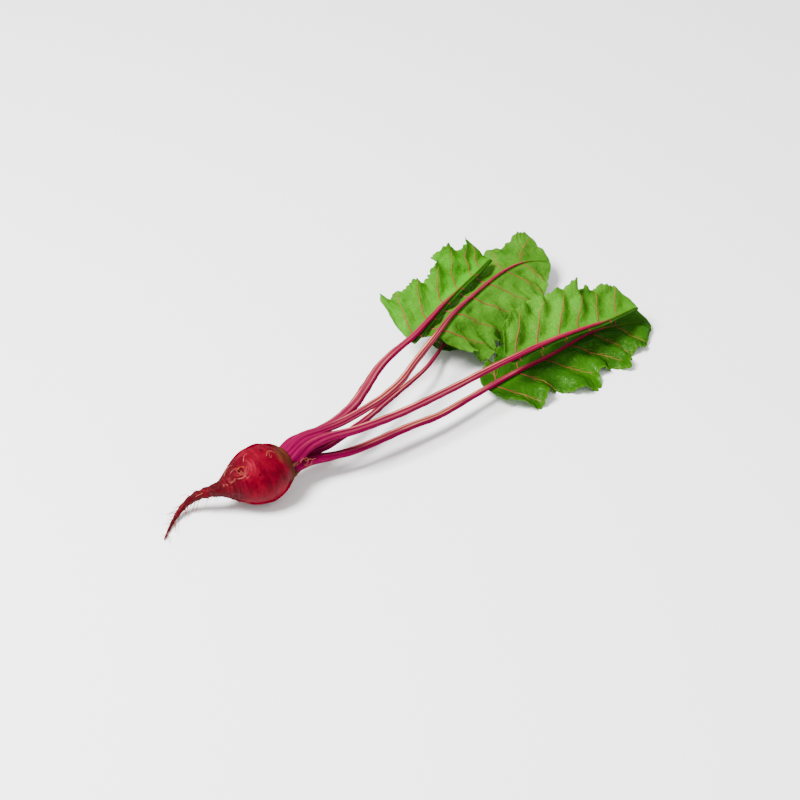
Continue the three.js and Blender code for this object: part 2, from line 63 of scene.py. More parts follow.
# [distance along the axis, angle round it, run along, run round, bow]
SURFACE_ROOTS = [
    [-35, 1.05, 9, -0.1, -0.12], [-31, 1.75, 9, 0.1, 0.3], [-24, 0.95, 9, 0.3, -0.2],
    [-15, 1.5, 6, 0.25, 0.1], [3, 1.3, 8, 0.05, 0.16], [-34, 4.3, 11, 0.2, 0.2],
    [-20, 4.6, 9, -0.3, 0.1],
]
# Seed of the plain draws that place the side roots and the stubs.
SEED = 20

# Stubs of old leaf bases: angles round the crown, and the foot and tip as distance along the axis
# and out from it.
STUB_ANGLES = [28, 182, 250, 300, 342]
STUB_RADIUS = 2.2
STUB_FOOT = [21.5, 12]
STUB_TIP = [28.8, 10.6]
STUB_LEAN = 0.12

# Marks on the skin: [distance along the axis, angle round it in degrees, skin radius there].
# Each pit is a mark, its spread and its depth.
SWIRL_EYE = [-20.5, 72, 19]
PITS = [[SWIRL_EYE, 1.3, 1], [[1.5, 92, 24], 1.3, 1], [[-8.5, 42, 23], 0.9, 0.9]]

# Blades and stalks. SHEET is the thickness of the solids' blades, SHOWN_SHEET that of these.
SHEET = 0.9
SHOWN_SHEET = 0.6
CLEARANCE = 0.3
BLADE_END = 0.995
FOOT_HALF_WIDTH = 1.6
OUTLINE_RISE = 0.42
OUTLINE_FALL = 0.5
TWIST_SHARE = 0.16
STALK_END = 0.985
# How strong the stalks' pale ridges, with their painted highlight, are along the way: [share of the
# path, strength].
RIDGE_GLOW = [
    [0.03, 0], [0.1, 0.12], [0.18, 0.55], [0.3, 1], [0.48, 0.95], [0.62, 0.35], [1, 0.2],
]

# path: the middle line of stalk and midrib, from inside the crown to the leaf tip.
# base_facing and facing: the normal of the shown side at the crown, and further out.
# blade_from: the share of the path where the blade starts.
# stalk: [share of the path, half width, half depth].
# left and right: each half blade's width, the fold it makes with the level along it and how
# quickly it gets there, how much it curls on towards its margin, the height, number and phase of
# its ruffles, single lobes as [place, spread, extra width, lift], where side veins leave the
# midrib, how ragged the margin is and how high the blade swells between side veins.
# ridges: pale ridges of the stalk that also carry a painted highlight, as three angles round it along
# the way, and a strength.
# rib_fades: the shares of the path between which the midrib turns green and sinks.
# young: how yellow the green is. shown_side: the side that faces up. rows: mesh rows.
LEAVES = {
    "leaf_1": dict(
        path=[
            [24, -7.6, 28.2], [41, -6.8, 35.8], [58, -13, 40.5], [80, -21, 42], [121, -26, 42],
            [172, -26, 41], [226, -25, 41], [282, -25.5, 40], [318, -27, 37], [345, -27.5, 33.5],
            [388, -22.6, 27],
        ],
        base_facing=[0, -0.9, 0.45], facing=[0, -0.12, 1], blade_from=0.595,
        stalk=[
            [0, 4, 2.8], [0.08, 3.6, 2.9], [0.3, 3.2, 2.7], [0.58, 2.7, 2.3], [0.8, 1.5, 1.3],
            [1, 0.6, 0.5],
        ],
        left=dict(
            width=40, fold=[[0, 40], [0.5, 34], [1, 24]], crease=9, curl=-10, ruffle=3.2, waves=8.5,
            phase=0.1, lobes=[[0.12, 0.1, 9, 4], [0.61, 0.05, 3, 10], [0.9, 0.07, 8, 6]],
            veins=[0.05, 0.21, 0.37, 0.51, 0.66, 0.82], fine=1.0, pleat=2.8,
        ),
        right=dict(
            width=18, fold=[[0, -125], [0.3, -142], [1, -135]], crease=3, curl=-14, ruffle=1.2,
            waves=5, phase=0.6, lobes=[[0.06, 0.06, 3, 0]], veins=[0.05, 0.22, 0.4, 0.57, 0.74],
            fine=0.6, pleat=1.0,
        ),
        ridges=[[60, 72, 80, 1.0], [118, 128, 125, 0.22], [8, 30, 40, 0.3]], rib_fades=[0.84, 0.92],
        young=0.16, shown_side="under", rows=256,
    ),
    "leaf_2": dict(
        path=[
            [24, -6.5, 20], [43, -8.5, 20.5], [61, -15, 20.5], [84, -20, 20], [134, -22, 18.5],
            [165, -23, 16], [206, -20, 15.5], [253, -17, 15], [291, -16, 13.5], [350, -12, 11],
            [402, -24, 6],
        ],
        base_facing=[0, 0.6, 0.8], facing=[0, 0, 1], blade_from=0.52,
        stalk=[
            [0, 4, 2.8], [0.08, 3.7, 2.9], [0.3, 3.2, 2.6], [0.5, 2.6, 2.2], [0.78, 1.4, 1.2],
            [1, 0.6, 0.5],
        ],
        left=dict(
            width=34, fold=[[0, 4], [0.6, 14], [1, 20]], crease=9, curl=-12, ruffle=2.4, waves=8,
            phase=0.35, lobes=[[0.9, 0.08, 8, 2]], veins=[0.06, 0.2, 0.36, 0.52, 0.68, 0.82],
            fine=1.0, pleat=2.4,
        ),
        right=dict(
            width=40, fold=[[0, -18], [0.5, -14], [1, -8]], crease=9, curl=6, ruffle=4.2, waves=6.5,
            phase=0.8,
            lobes=[
                [0.1, 0.04, 7, 1], [0.24, 0.05, -6, 1], [0.42, 0.06, 7, 1], [0.72, 0.09, 12, 2],
                [0.9, 0.06, 12, 3],
            ],
            veins=[0.04, 0.19, 0.36, 0.53, 0.68, 0.82], fine=1.7, pleat=3.0,
        ),
        ridges=[[70, 76, 80, 0.75], [112, 120, 110, 0.4], [20, 30, 40, 0.2]], rib_fades=[0.84, 0.94],
        young=0.0, shown_side="upper", rows=264,
    ),
    "leaf_3": dict(
        path=[
            [24, -0.3, 31.6], [41, 1.5, 38.2], [60, -3, 40.6], [80, -5.5, 42], [105, -4.5, 43],
            [123, -2, 43.5], [146, 5, 44], [170, 17, 44.5], [209, 36, 44.5], [240, 52, 43],
            [278, 66.5, 40], [312, 79, 35.5], [341, 86.7, 30], [361, 86.5, 25.5], [378, 81, 20],
        ],
        base_facing=[0, 0, 1], facing=[-0.1, -0.15, 1], blade_from=0.52,
        stalk=[
            [0, 4, 2.8], [0.08, 3.6, 2.8], [0.3, 3.1, 2.6], [0.5, 2.6, 2.3], [0.76, 1.5, 1.3],
            [1, 0.6, 0.5],
        ],
        left=dict(
            width=38, fold=[[0, -46], [0.3, -36], [0.62, -30], [0.8, -12], [0.9, 14], [1, 26]],
            crease=4, curl=-8, ruffle=2.6, waves=9, phase=0.2, lobes=[[0.87, 0.1, 8, 2]],
            veins=[0.04, 0.19, 0.35, 0.52, 0.69, 0.83], fine=1.7, pleat=2.0,
        ),
        right=dict(
            width=47, fold=[[0, -36], [0.5, -22], [1, -12]], crease=9, curl=-12, ruffle=3.4, waves=9,
            phase=0.55, lobes=[[0.14, 0.1, 8, 0], [0.55, 0.16, 7, 0], [0.86, 0.1, 4, 2]],
            veins=[0.04, 0.2, 0.36, 0.52, 0.69, 0.83], fine=1.9, pleat=2.8,
        ),
        ridges=[[70, 68, 74, 1.0], [108, 116, 120, 0.4], [150, 160, 150, 0.15]],
        rib_fades=[0.88, 0.96], young=0.0, shown_side="under", rows=264,
    ),
    "leaf_4": dict(
        path=[
            [24, 5.7, 28], [38, 9, 32], [56, 8.5, 30.5], [79, 10.5, 29], [106, 19, 28], [128, 31, 28],
            [151, 43, 30.5], [168.9, 47.5, 34.5], [193.3, 50.6, 39.5], [216.2, 57.1, 43],
            [244.2, 68.1, 44], [273.2, 79.1, 43.5], [296.2, 88.1, 42], [322, 101.1, 38],
        ],
        base_facing=[0, 0.8, 0.55], facing=[-0.1, 0, 1], blade_from=0.56,
        stalk=[
            [0, 4, 2.8], [0.08, 4.2, 2.8], [0.3, 4.4, 2.7], [0.54, 3.2, 2.5], [0.78, 1.6, 1.3],
            [1, 0.6, 0.5],
        ],
        left=dict(
            width=38, fold=[[0, 22], [0.25, 38], [0.5, 54], [1, 54]], crease=9, curl=-12, ruffle=4,
            waves=5, phase=0.7,
            lobes=[
                [0.1, 0.07, 27, 0], [0.45, 0.12, -9, 0], [0.72, 0.07, 3, 1], [0.97, 0.06, 34, 0],
            ],
            veins=[0.03, 0.19, 0.38, 0.56, 0.74, 0.86], fine=1.1, pleat=1.6,
        ),
        right=dict(
            width=36, fold=[[0, -158], [0.25, -178], [0.5, -196], [1, -196]], crease=5, curl=12,
            ruffle=2, waves=6, phase=0.3, lobes=[[0.1, 0.08, 3, 0]],
            veins=[0.05, 0.22, 0.4, 0.58, 0.76], fine=0.2, pleat=0.0,
        ),
        ridges=[[60, 66, 70, 0.4], [118, 122, 120, 0.25], [92, 92, 90, 0.05]], rib_fades=[0.7, 0.84],
        young=0.6, shown_side="under", rows=250,
    ),
    "leaf_5": dict(
        path=[
            [24, 2, 20], [38, 1, 21.4], [54, -4.5, 23.6], [69, -5.5, 25], [104, 1, 25], [130, 9, 24],
            [154, 17, 22], [177, 25, 19.5], [201, 36, 16], [236, 57, 10.5], [268, 71, 6.5],
            [300, 82, 3.2],
        ],
        base_facing=[0, -0.55, 0.83], facing=[0, 0, 1], blade_from=0.73,
        stalk=[[0, 3.8, 2.7], [0.1, 3.1, 2.5], [0.35, 2.6, 2.2], [0.66, 1.9, 1.7], [1, 0.6, 0.5]],
        left=dict(
            width=14, fold=[[0, -8], [1, -8]], crease=8, curl=-10, ruffle=1, waves=4, phase=0.1,
            lobes=[], veins=[0.08, 0.3, 0.52, 0.74], fine=0.5, pleat=0.8,
        ),
        right=dict(
            width=15, fold=[[0, -8], [1, -8]], crease=8, curl=-10, ruffle=1, waves=4, phase=0.6,
            lobes=[], veins=[0.08, 0.3, 0.52, 0.74], fine=0.5, pleat=0.8,
        ),
        ridges=[[60, 60, 80, 0.7], [110, 120, 110, 0.4]], rib_fades=[0.85, 0.95], young=0.0,
        shown_side="under", rows=120,
    ),
}


# Shapes


def smooth(x):
    """Eases from 0 to 1: three times the square less twice the cube, held level outside."""
    x = np.clip(x, 0, 1)
    return x * x * (3 - 2 * x)


def bell(x, spread):
    """1 in the middle, falling off both ways by the exponential of minus the square."""
    return np.exp(-((x / spread) ** 2))


def read_rows(rows, place, column=1):
    """Straight stretches between [place, value, value...] rows."""
    table = np.array(rows, float)
    return np.interp(place, table[:, 0], table[:, column])


def curve_through(points):
    """A line through the points, each stretch a cubic whose end slopes are half the way between
    the neighbouring points. Returns a function of the share of its length, and the length."""
    points = np.array(points, float)
    padded = np.vstack([2 * points[0] - points[1], points, 2 * points[-1] - points[-2]])
    stretches = len(points) - 1

    def at(place):
        place = np.clip(place, 0, 1) * stretches
        k = np.minimum(place.astype(int), stretches - 1)
        w = (place - k)[..., None]
        before, start, end, after = (padded[k + i] for i in range(4))
        leaving, arriving = 0.5 * (end - before), 0.5 * (after - start)
        square = 3 * (end - start) - 2 * leaving - arriving
        cube = 2 * (start - end) + leaving + arriving
        return start + leaving * w + square * w**2 + cube * w**3

    marks = np.linspace(0, 1, 201)
    steps = np.linalg.norm(np.diff(at(marks), axis=0), axis=1)
    lengths = np.concatenate([[0], np.cumsum(steps)])

    def along(share):
        return at(np.interp(np.asarray(share, float) * lengths[-1], lengths, marks))

    return along, lengths[-1]


def unit(vectors):
    """Each vector divided by its length."""
    return vectors / np.maximum(np.linalg.norm(vectors, axis=-1, keepdims=True), 1e-9)


def square_to(vectors, along):
    """Each vector less its part along the way, made one long."""
    return unit(vectors - np.sum(vectors * along, axis=-1, keepdims=True) * along)


def ripple(x, y, seed, slow, fast, count=14):
    """Uneven waves over two coordinates: a sum of seeded cosines, each with its own direction,
    phase and number of waves per unit between slow and fast, scaled to about -1 to 1."""
    rng = np.random.default_rng(seed)
    total = 0
    for _ in range(count):
        heading = rng.uniform(0, FULL_TURN)
        waves = rng.uniform(slow, fast) * FULL_TURN
        phase = rng.uniform(0, FULL_TURN)
        total += np.cos(waves * (x * math.cos(heading) + y * math.sin(heading)) + phase)
    return total * 1.4 / math.sqrt(count)


def round_ripple(distance, angle, seed, turns, waves, count=14):
    """Uneven waves that close round the root: a sum of seeded cosines of a whole number of turns
    of the angle, plus waves per millimetre along the axis, scaled to about -1 to 1."""
    rng = np.random.default_rng(seed)
    total = 0
    for _ in range(count):
        lobes = rng.integers(turns[0], turns[1] + 1) * rng.choice([-1, 1])
        pace = rng.uniform(*waves) * FULL_TURN
        total += np.cos(lobes * angle + pace * distance + rng.uniform(0, FULL_TURN))
    return total * 1.4 / math.sqrt(count)


# Meshes


def grid_faces(rows, columns, around):
    """A quad between each pair of neighbouring rows and columns. Around joins the last column
    to the first. Returns the corners and the grid places of the corners for the UV map."""
    i, j = np.meshgrid(np.arange(rows - 1), np.arange(columns - (not around)), indexing="ij")
    k = (j + 1) % columns
    row, after = i * columns, (i + 1) * columns
    corners = np.stack([row + j, after + j, after + k, row + k], -1)
    down = np.stack([i, i + 1, i + 1, i], -1) / (rows - 1)
    over = np.stack([j, j, j + 1, j + 1], -1) / columns
    return corners.reshape(-1, 4), np.stack([down, over], -1).reshape(-1, 4, 2)


def end_caps(rows, columns):
    """The two faces that close a swept skin: its first and its last row."""
    ring = np.arange(columns)
    return [ring, (rows - 1) * columns + ring[::-1]]


def add_piece(name, points, quads, places, caps, tables, material, nodes=()):
    """Makes the mesh from points in millimetres, turns it so that the volume its faces enclose is
    positive, gives it its UV map and its named value tables, and lets it ride on the plant."""
    a, b, c, d = (points[quads[:, k]] for k in range(4))
    volume = np.sum(a * np.cross(b, c)) + np.sum(a * np.cross(c, d))
    if volume < 0:
        quads, places, caps = quads[:, ::-1], places[:, ::-1], [cap[::-1] for cap in caps]
    mesh = bpy.data.meshes.new(name)
    mesh.from_pydata((points * MM).tolist(), [], quads.tolist() + [list(cap) for cap in caps])
    mesh.shade_smooth()
    layout = mesh.uv_layers.new(name="UVMap")
    cap_places = np.zeros((sum(len(cap) for cap in caps), 2))
    layout.data.foreach_set("uv", np.concatenate([places.reshape(-1, 2), cap_places]).ravel())
    for table, values in tables.items():
        column = mesh.attributes.new(table, "FLOAT", "POINT")
        column.data.foreach_set("value", np.asarray(values, np.float32).ravel())
    mesh.materials.append(material)
    mesh.validate()
    piece = bpy.data.objects.new(name, mesh)
    bpy.context.scene.collection.objects.link(piece)
    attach(piece, "root")
    for node in nodes:
        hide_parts(node)
    return piece


def add_tubes(name, centres, facings, half_widths, half_heights, sides, tables, material):
    """Many slim tubes at once. centres is tube by step by 3, and each section is an ellipse square
    to the way along, half_heights towards the facing and half_widths across it."""
    count, steps = centres.shape[:2]
    along = unit(np.gradient(centres, axis=1))
    up = square_to(facings, along)
    across = np.cross(up, along)
    angle = np.arange(sides) * FULL_TURN / sides
    wide = np.cos(angle)[None, None, :, None] * half_widths[..., None, None]
    high = np.sin(angle)[None, None, :, None] * half_heights[..., None, None]
    points = centres[:, :, None] + wide * across[:, :, None] + high * up[:, :, None]
    quads, places = grid_faces(steps, sides, True)
    starts = np.arange(count) * steps * sides
    all_quads = (quads[None] + starts[:, None, None]).reshape(-1, 4)
    all_places = np.tile(places, (count, 1, 1))
    ring = np.arange(sides)
    caps = [start + ring for start in starts]
    caps += [start + (steps - 1) * sides + ring[::-1] for start in starts]
    spread = {key: np.repeat(values.ravel(), sides) for key, values in tables.items()}
    return add_piece(name, points.reshape(-1, 3), all_quads, all_places, caps, spread, material)


# Materials


def start_material(name):
    """A new material: returns it and its node tree."""
    material = bpy.data.materials.new(name)
    material.use_nodes = True
    return material, material.node_tree


def feed(tree, node, inputs):
    """Gives a node its inputs: a value, another node's output, or the name of one of the piece's
    own value tables."""
    for name, value in inputs.items():
        if isinstance(value, str):
            value = add_node(tree, "ShaderNodeAttribute", {}, attribute_name=value).outputs["Fac"]
        if isinstance(value, bpy.types.NodeSocket):
            tree.links.new(value, node.inputs[name])
        else:
            node.inputs[name].default_value = value


def add_node(tree, kind, inputs, **settings):
    """Adds a node with its settings and inputs."""
    made = tree.nodes.new(kind)
    for name, value in settings.items():
        setattr(made, name, value)
    feed(tree, made, inputs)
    return made


def mixed(tree, share, first, second):
    """One colour turning into another by a share from 0 to 1."""
    inputs = {0: share, 6: first, 7: second}
    return add_node(tree, "ShaderNodeMix", inputs, data_type="RGBA").outputs[2]


def layered(tree, colour, layers):
    """A colour with others laid over it in turn, each by its share from 0 to 1."""
    for share, over in layers:
        colour = mixed(tree, share, colour, over)
    return colour


def stretched(tree, value, low, high, bottom=0.0, top=1.0):
    """A value between low and high spread over bottom to top, and held there outside."""
    inputs = {0: value, 1: low, 2: high, 3: bottom, 4: top}
    return add_node(tree, "ShaderNodeMapRange", inputs).outputs[0]


def blended(tree, value, low, high, first, second):
    """One colour turning into another as a value goes from low to high."""
    return mixed(tree, stretched(tree, value, low, high), first, second)


def plus(tree, first, second):
    """The sum of two values."""
    return add_node(tree, "ShaderNodeMath", {0: first, 1: second}, operation="ADD").outputs[0]


def times(tree, first, second):
    """The product of two values."""
    inputs = {0: first, 1: second}
    return add_node(tree, "ShaderNodeMath", inputs, operation="MULTIPLY").outputs[0]


def place_on(tree, kind):
    """The place on the piece: Object for its own metres, UV for its UV map."""
    return add_node(tree, "ShaderNodeTexCoord", {}).outputs[kind]


def noise(tree, scale, detail=4.0, roughness=0.55, stretch=(1, 1, 1), kind="Object"):
    """Cloudy variation, with the place on the piece stretched first by the three numbers."""
    moved = add_node(tree, "ShaderNodeMapping", {0: place_on(tree, kind), 3: stretch}).outputs[0]
    inputs = {"Vector": moved, "Scale": scale, "Detail": detail, "Roughness": roughness}
    return add_node(tree, "ShaderNodeTexNoise", inputs).outputs["Fac"]


def finished(material, colour, rough, height, depth, sheen=None, tint=None):
    """Gives a material its colour, its roughness and its relief, a height pattern of that depth
    in metres. A sheen with a tint fades where the surface turns away, so that the pale
    floor doesn't whiten its edges. One without a tint is even all over."""
    tree = material.node_tree
    bump = add_node(tree, "ShaderNodeBump", {"Height": height, "Distance": depth}).outputs[0]
    inputs = {"Base Color": colour, "Roughness": rough, "Normal": bump}
    if tint:
        turned_away = add_node(tree, "ShaderNodeLayerWeight", {"Blend": 0.5}).outputs["Facing"]
        inputs["Specular Tint"] = tint
        inputs["Specular IOR Level"] = stretched(tree, turned_away, 0.0, 0.65, sheen, 0.0)
    elif sheen:
        inputs["Specular IOR Level"] = sheen
    feed(tree, tree.nodes["Principled BSDF"], inputs)
    return material


def skin_of_root():
    """Crimson skin, mottled and streaked round the root, corky brown at the shoulder and dark towards
    the tail, with orange scars, dark pits, and painted shade in the troughs of the folds and the
    swirl's hollows, from the piece's own tables."""
    material, tree = start_material("crimson_beet_skin")
    clouds = noise(tree, 70, 5, 0.6)
    streaks = noise(tree, 40, 5, 0.6, (4, 1, 1))
    grain = noise(tree, 900, 3, 0.6)
    dark, bright = (0.055, 0.0001, 0.0035, 1), (0.135, 0.0001, 0.0095, 1)
    dark_cork, light_cork = (0.035, 0.0063, 0.0035, 1), (0.091, 0.025, 0.0098, 1)
    tail = times(tree, "tail", stretched(tree, streaks, 0.25, 0.75, 1.0, 0.6))
    corky = stretched(tree, plus(tree, "shoulder", times(tree, clouds, 0.5)), 0.45, 1.2)
    scar = stretched(tree, plus(tree, "scar", times(tree, grain, 0.3)), 0.4, 1.0)
    colour = layered(tree, blended(tree, clouds, 0.35, 0.68, dark, bright), [
        (stretched(tree, streaks, 0.52, 0.72, 0, 0.55), (0.2, 0.0022, 0.013, 1)),
        (stretched(tree, streaks, 0.48, 0.32, 0, 0.7), (0.026, 0.0004, 0.0035, 1)),
        (tail, (0.03, 0.0022, 0.0035, 1)),
        (corky, blended(tree, streaks, 0.35, 0.65, dark_cork, light_cork)),
        (scar, (0.32, 0.056, 0.014, 1)),
        # Dark pits, and painted shade in the fold troughs and the swirl's hollows.
        ("crease", (0.014, 0.0014, 0.0021, 1)),
    ])
    rough = plus(tree, stretched(tree, clouds, 0.3, 0.7, 0.3, 0.4), times(tree, corky, 0.2))
    height = plus(tree, streaks, times(tree, grain, 0.25))
    return finished(material, colour, rough, height, 0.0004, 0.16, (1, 0.15, 0.18, 1))


def skin_of_side_roots():
    """Fine roots: pale orange fibres, redder where they leave the skin."""
    material, tree = start_material("orange_root_fibre")
    tone = plus(tree, "share", times(tree, noise(tree, 300), 0.5))
    red, orange = (0.098, 0.0021, 0.0056, 1), (0.21, 0.035, 0.0084, 1)
    colour = blended(tree, tone, 0.15, 0.9, red, orange)
    return finished(material, colour, 0.55, noise(tree, 1500), 0.0003)


def skin_of_stalk():
    """Moist magenta stalk skin: pale cream ridges that carry a painted highlight, painted shade in
    the grooves, fine fibres along the length, crimson towards the blade, green where the midrib
    fades."""
    material, tree = start_material("magenta_stalk_skin")
    fibres = noise(tree, 4, 5, 0.6, (3, 16, 1), "UV")
    fine = noise(tree, 10, 3, 0.6, (5, 40, 1), "UV")
    clouds = noise(tree, 45, 3)
    dark, bright = (0.09, 0.0001, 0.02, 1), (0.19, 0.0003, 0.044, 1)
    # Painted shade in the grooves between the ridges.
    groove_shade = times(tree, "groove_shade", stretched(tree, clouds, 0.3, 0.7, 0.6, 1.0))
    # Pale ridges: partly their own cream colour, partly a painted highlight along their upper edges.
    pale = times(tree, "pale", stretched(tree, fibres, 0.25, 0.6, 0.75, 1.0))
    colour = layered(tree, blended(tree, fibres, 0.3, 0.7, dark, bright), [
        (stretched(tree, "share", 0.45, 0.75), (0.2, 0.0004, 0.03, 1)),
        (groove_shade, (0.03, 0.0001, 0.0045, 1)),
        (pale, (0.98, 0.4, 0.18, 1)),
        (stretched(tree, fine, 0.62, 0.8, 0, 0.22), (0.34, 0.04, 0.07, 1)),
        ("faded", (0.056, 0.12, 0.0042, 1)),
    ])
    rough = stretched(tree, clouds, 0.3, 0.7, 0.28, 0.42)
    height = plus(tree, fibres, fine)
    return finished(material, colour, rough, height, 0.0003, 0.05, (1, 0.12, 0.3, 1))


def skin_of_vein():
    """Side veins: pink where they leave the midrib, through orange to pale green at their ends."""
    material, tree = start_material("pink_leaf_vein")
    share = plus(tree, "share", stretched(tree, noise(tree, 120), 0.3, 0.7, -0.15, 0.15))
    pink, orange, green = (0.19, 0.012, 0.024, 1), (0.22, 0.085, 0.03, 1), (0.11, 0.17, 0.012, 1)
    colour = blended(tree, share, 0.05, 0.6, pink, orange)
    colour = blended(tree, share, 0.75, 1.05, colour, green)
    return finished(material, colour, 0.5, noise(tree, 1200), 0.0002, 0.1)


def skin_of_blade():
    """Leaf blade: bright yellow green and matte underneath, deeper and glossier above, paler at the
    margin, with painted shade where a half is folded under the rib, and a fine net of small veins
    that divides the surface into cells."""
    material, tree = start_material("green_leaf_blade")
    laid = place_on(tree, "UV")
    clouds = noise(tree, 28, 4, 0.55)
    patches = noise(tree, 130, 4, 0.6)
    upper = stretched(tree, "upper", 0, 1)
    under_dark, under_bright = (0.02, 0.1, 0.003, 1), (0.062, 0.22, 0.01, 1)
    upper_dark, upper_bright = (0.006, 0.042, 0.0006, 1), (0.019, 0.1, 0.0015, 1)
    under_colour = blended(tree, clouds, 0.32, 0.7, under_dark, under_bright)
    upper_colour = blended(tree, clouds, 0.32, 0.7, upper_dark, upper_bright)
    pale_patch = mixed(tree, upper, (0.085, 0.22, 0.02, 1), (0.024, 0.12, 0.002, 1))
    line_colour = mixed(tree, upper, (0.1, 0.23, 0.017, 1), (0.04, 0.14, 0.004, 1))
    drift = add_node(tree, "ShaderNodeTexNoise", {"Vector": laid, "Scale": 9.0}).outputs["Color"]
    cells = {"Vector": mixed(tree, 0.04, laid, drift), "Scale": 52.0}
    net = add_node(tree, "ShaderNodeTexVoronoi", cells, feature="DISTANCE_TO_EDGE")
    lines = stretched(tree, net.outputs["Distance"], 0.0, 0.09, 1.0, 0.0)
    colour = layered(tree, mixed(tree, upper, under_colour, upper_colour), [
        (stretched(tree, patches, 0.5, 0.75, 0, 0.35), pale_patch),
        (times(tree, lines, 0.34), line_colour),
        ("young", (0.062, 0.36, 0.004, 1)),
        # Painted shade where a half is folded under the rib.
        (times(tree, "tucked_shade", 0.85), (0.009, 0.042, 0.001, 1)),
        (times(tree, "edge", 0.3), (0.075, 0.19, 0.006, 1)),
    ])
    rough = plus(tree, stretched(tree, patches, 0.3, 0.7, 0.5, 0.64), times(tree, upper, -0.16))
    relief = times(tree, lines, stretched(tree, upper, 0, 1, 1.0, -1.0))
    height = plus(tree, relief, times(tree, patches, 1.5))
    return finished(material, colour, rough, height, 0.0003, 0.2, (0.6, 1, 0.3, 1))


def skin_of_stub():
    """Dried stubs of old leaf bases: brown, cloudy and cracked."""
    material, tree = start_material("dry_leaf_stub")
    clouds = noise(tree, 260, 5, 0.65)
    dark, light = (0.021, 0.007, 0.0035, 1), (0.091, 0.032, 0.014, 1)
    colour = blended(tree, clouds, 0.3, 0.7, dark, light)
    return finished(material, colour, 0.7, clouds, 0.0008, 0.04)


# Camera, at the angle of the photograph: 38 degrees round from the front towards the tail, and
# 39 degrees up.
AIM = np.array([147.86, 9.01, 20.0])
CAMERA_DISTANCE = 1900.0
CAMERA_AZIMUTH = math.radians(-38)
CAMERA_ELEVATION = math.radians(39)

back = np.array([
    math.sin(CAMERA_AZIMUTH) * math.cos(CAMERA_ELEVATION),
    -math.cos(CAMERA_AZIMUTH) * math.cos(CAMERA_ELEVATION),
    math.sin(CAMERA_ELEVATION),
])
camera = bpy.data.objects.new("camera", bpy.data.cameras.new("camera"))
camera.data.sensor_width = 36
camera.data.lens = 102.6
camera.location = (AIM + back * CAMERA_DISTANCE) * MM
camera.rotation_mode = "QUATERNION"
camera.rotation_quaternion = Vector(-back).to_track_quat("-Z", "Y")
bpy.context.scene.collection.objects.link(camera)
bpy.context.scene.camera = camera

# Root


def turned(x, y, z):
    """A direction turned about the upright by the root's turn."""
    cos, sin = math.cos(ROOT_TURN), math.sin(ROOT_TURN)
    return np.array([cos * x + sin * y, cos * y - sin * x, z])


ROOT_AXIS = turned(math.cos(ROOT_TILT), 0, math.sin(ROOT_TILT))
ROOT_UP = turned(-math.sin(ROOT_TILT), 0, math.cos(ROOT_TILT))
ROOT_SIDE = turned(0, -1, 0)


def root_point(distance, radius, angle):
    """A point of the straight part of the root: along the tilted axis, then out at the angle,
    which is 0 towards the near side and a quarter turn upwards."""
    distance, radius, angle = (np.asarray(x, float)[..., None] for x in (distance, radius, angle))
    centre = np.array([0, 0, ROOT_CENTRE_Z]) + distance * ROOT_AXIS
    return centre + radius * (np.cos(angle) * ROOT_SIDE + np.sin(angle) * ROOT_UP)


def near_mark(distance, angle, mark):
    """How far along and round a skin point lies from a mark, in millimetres, and the direction
    from the mark."""
    at_distance, at_degrees, radius = mark
    turn = (angle - math.radians(at_degrees) + math.pi) % FULL_TURN - math.pi
    along, across = distance - at_distance, turn * radius
    return np.hypot(along, across), np.arctan2(across, along)


def swirl_wave(away, heading):
    """Folds that run round the swirled scar, a sine of the way out and of the direction."""
    return np.sin(away * 2.2 + heading * 1.2)


def fold_wave(distance, angle):
    """Folds that run round the cone, a sine along the axis whose phase wanders."""
    return np.sin(distance * 2.9 + 1.1 * round_ripple(distance, angle, 4, (1, 3), (0, 0.05)))


def root_relief(distance, angle, radius):
    """Relief of the skin in millimetres. Swells and folds near the cone as in the solid, uneven
    finer folds that fade in towards the cone, low lumps, rings at the crown, and a swirled scar:
    a pit in a raised rim with folds that run round it."""
    swells = 0.016 * np.cos(2 * angle + 0.7) + 0.011 * np.cos(3 * angle - distance * 0.05)
    near_cone = smooth((-16 - distance) / 14) * smooth((distance + 62) / 20)
    folds = 0.014 * np.sin(distance * 1.9 + 1.3 * np.sin(angle))
    folds += 0.022 * np.cos(7 * angle + 0.12 * distance + 1.4 * np.sin(distance * 0.4))
    folds += 0.012 * np.cos(15 * angle - 0.2 * distance + 1.1 * np.sin(distance * 0.7))
    broken = 0.5 + 0.5 * round_ripple(distance, angle, 3, (1, 4), (0.02, 0.08))
    fine_folds = 0.22 * broken * fold_wave(distance, angle)
    lumps = 0.18 * round_ripple(distance, angle, 5, (2, 7), (0.02, 0.09))
    pores = 0.022 * round_ripple(distance, angle, 6, (14, 40), (0.1, 0.4), 24)
    rings = 0.16 * smooth((distance - 17) / 6) * np.sin(distance * 4.4 + 0.8 * np.sin(2 * angle))
    away, heading = near_mark(distance, angle, SWIRL_EYE)
    swirl = bell(away, 9) * 0.42 * swirl_wave(away, heading)
    eye = swirl - 1.1 * bell(away, 1.7) + 0.5 * bell(away - 3.4, 1.2)
    share = swells + near_cone * folds
    return radius * share + near_cone * fine_folds + lumps + pores + rings + eye


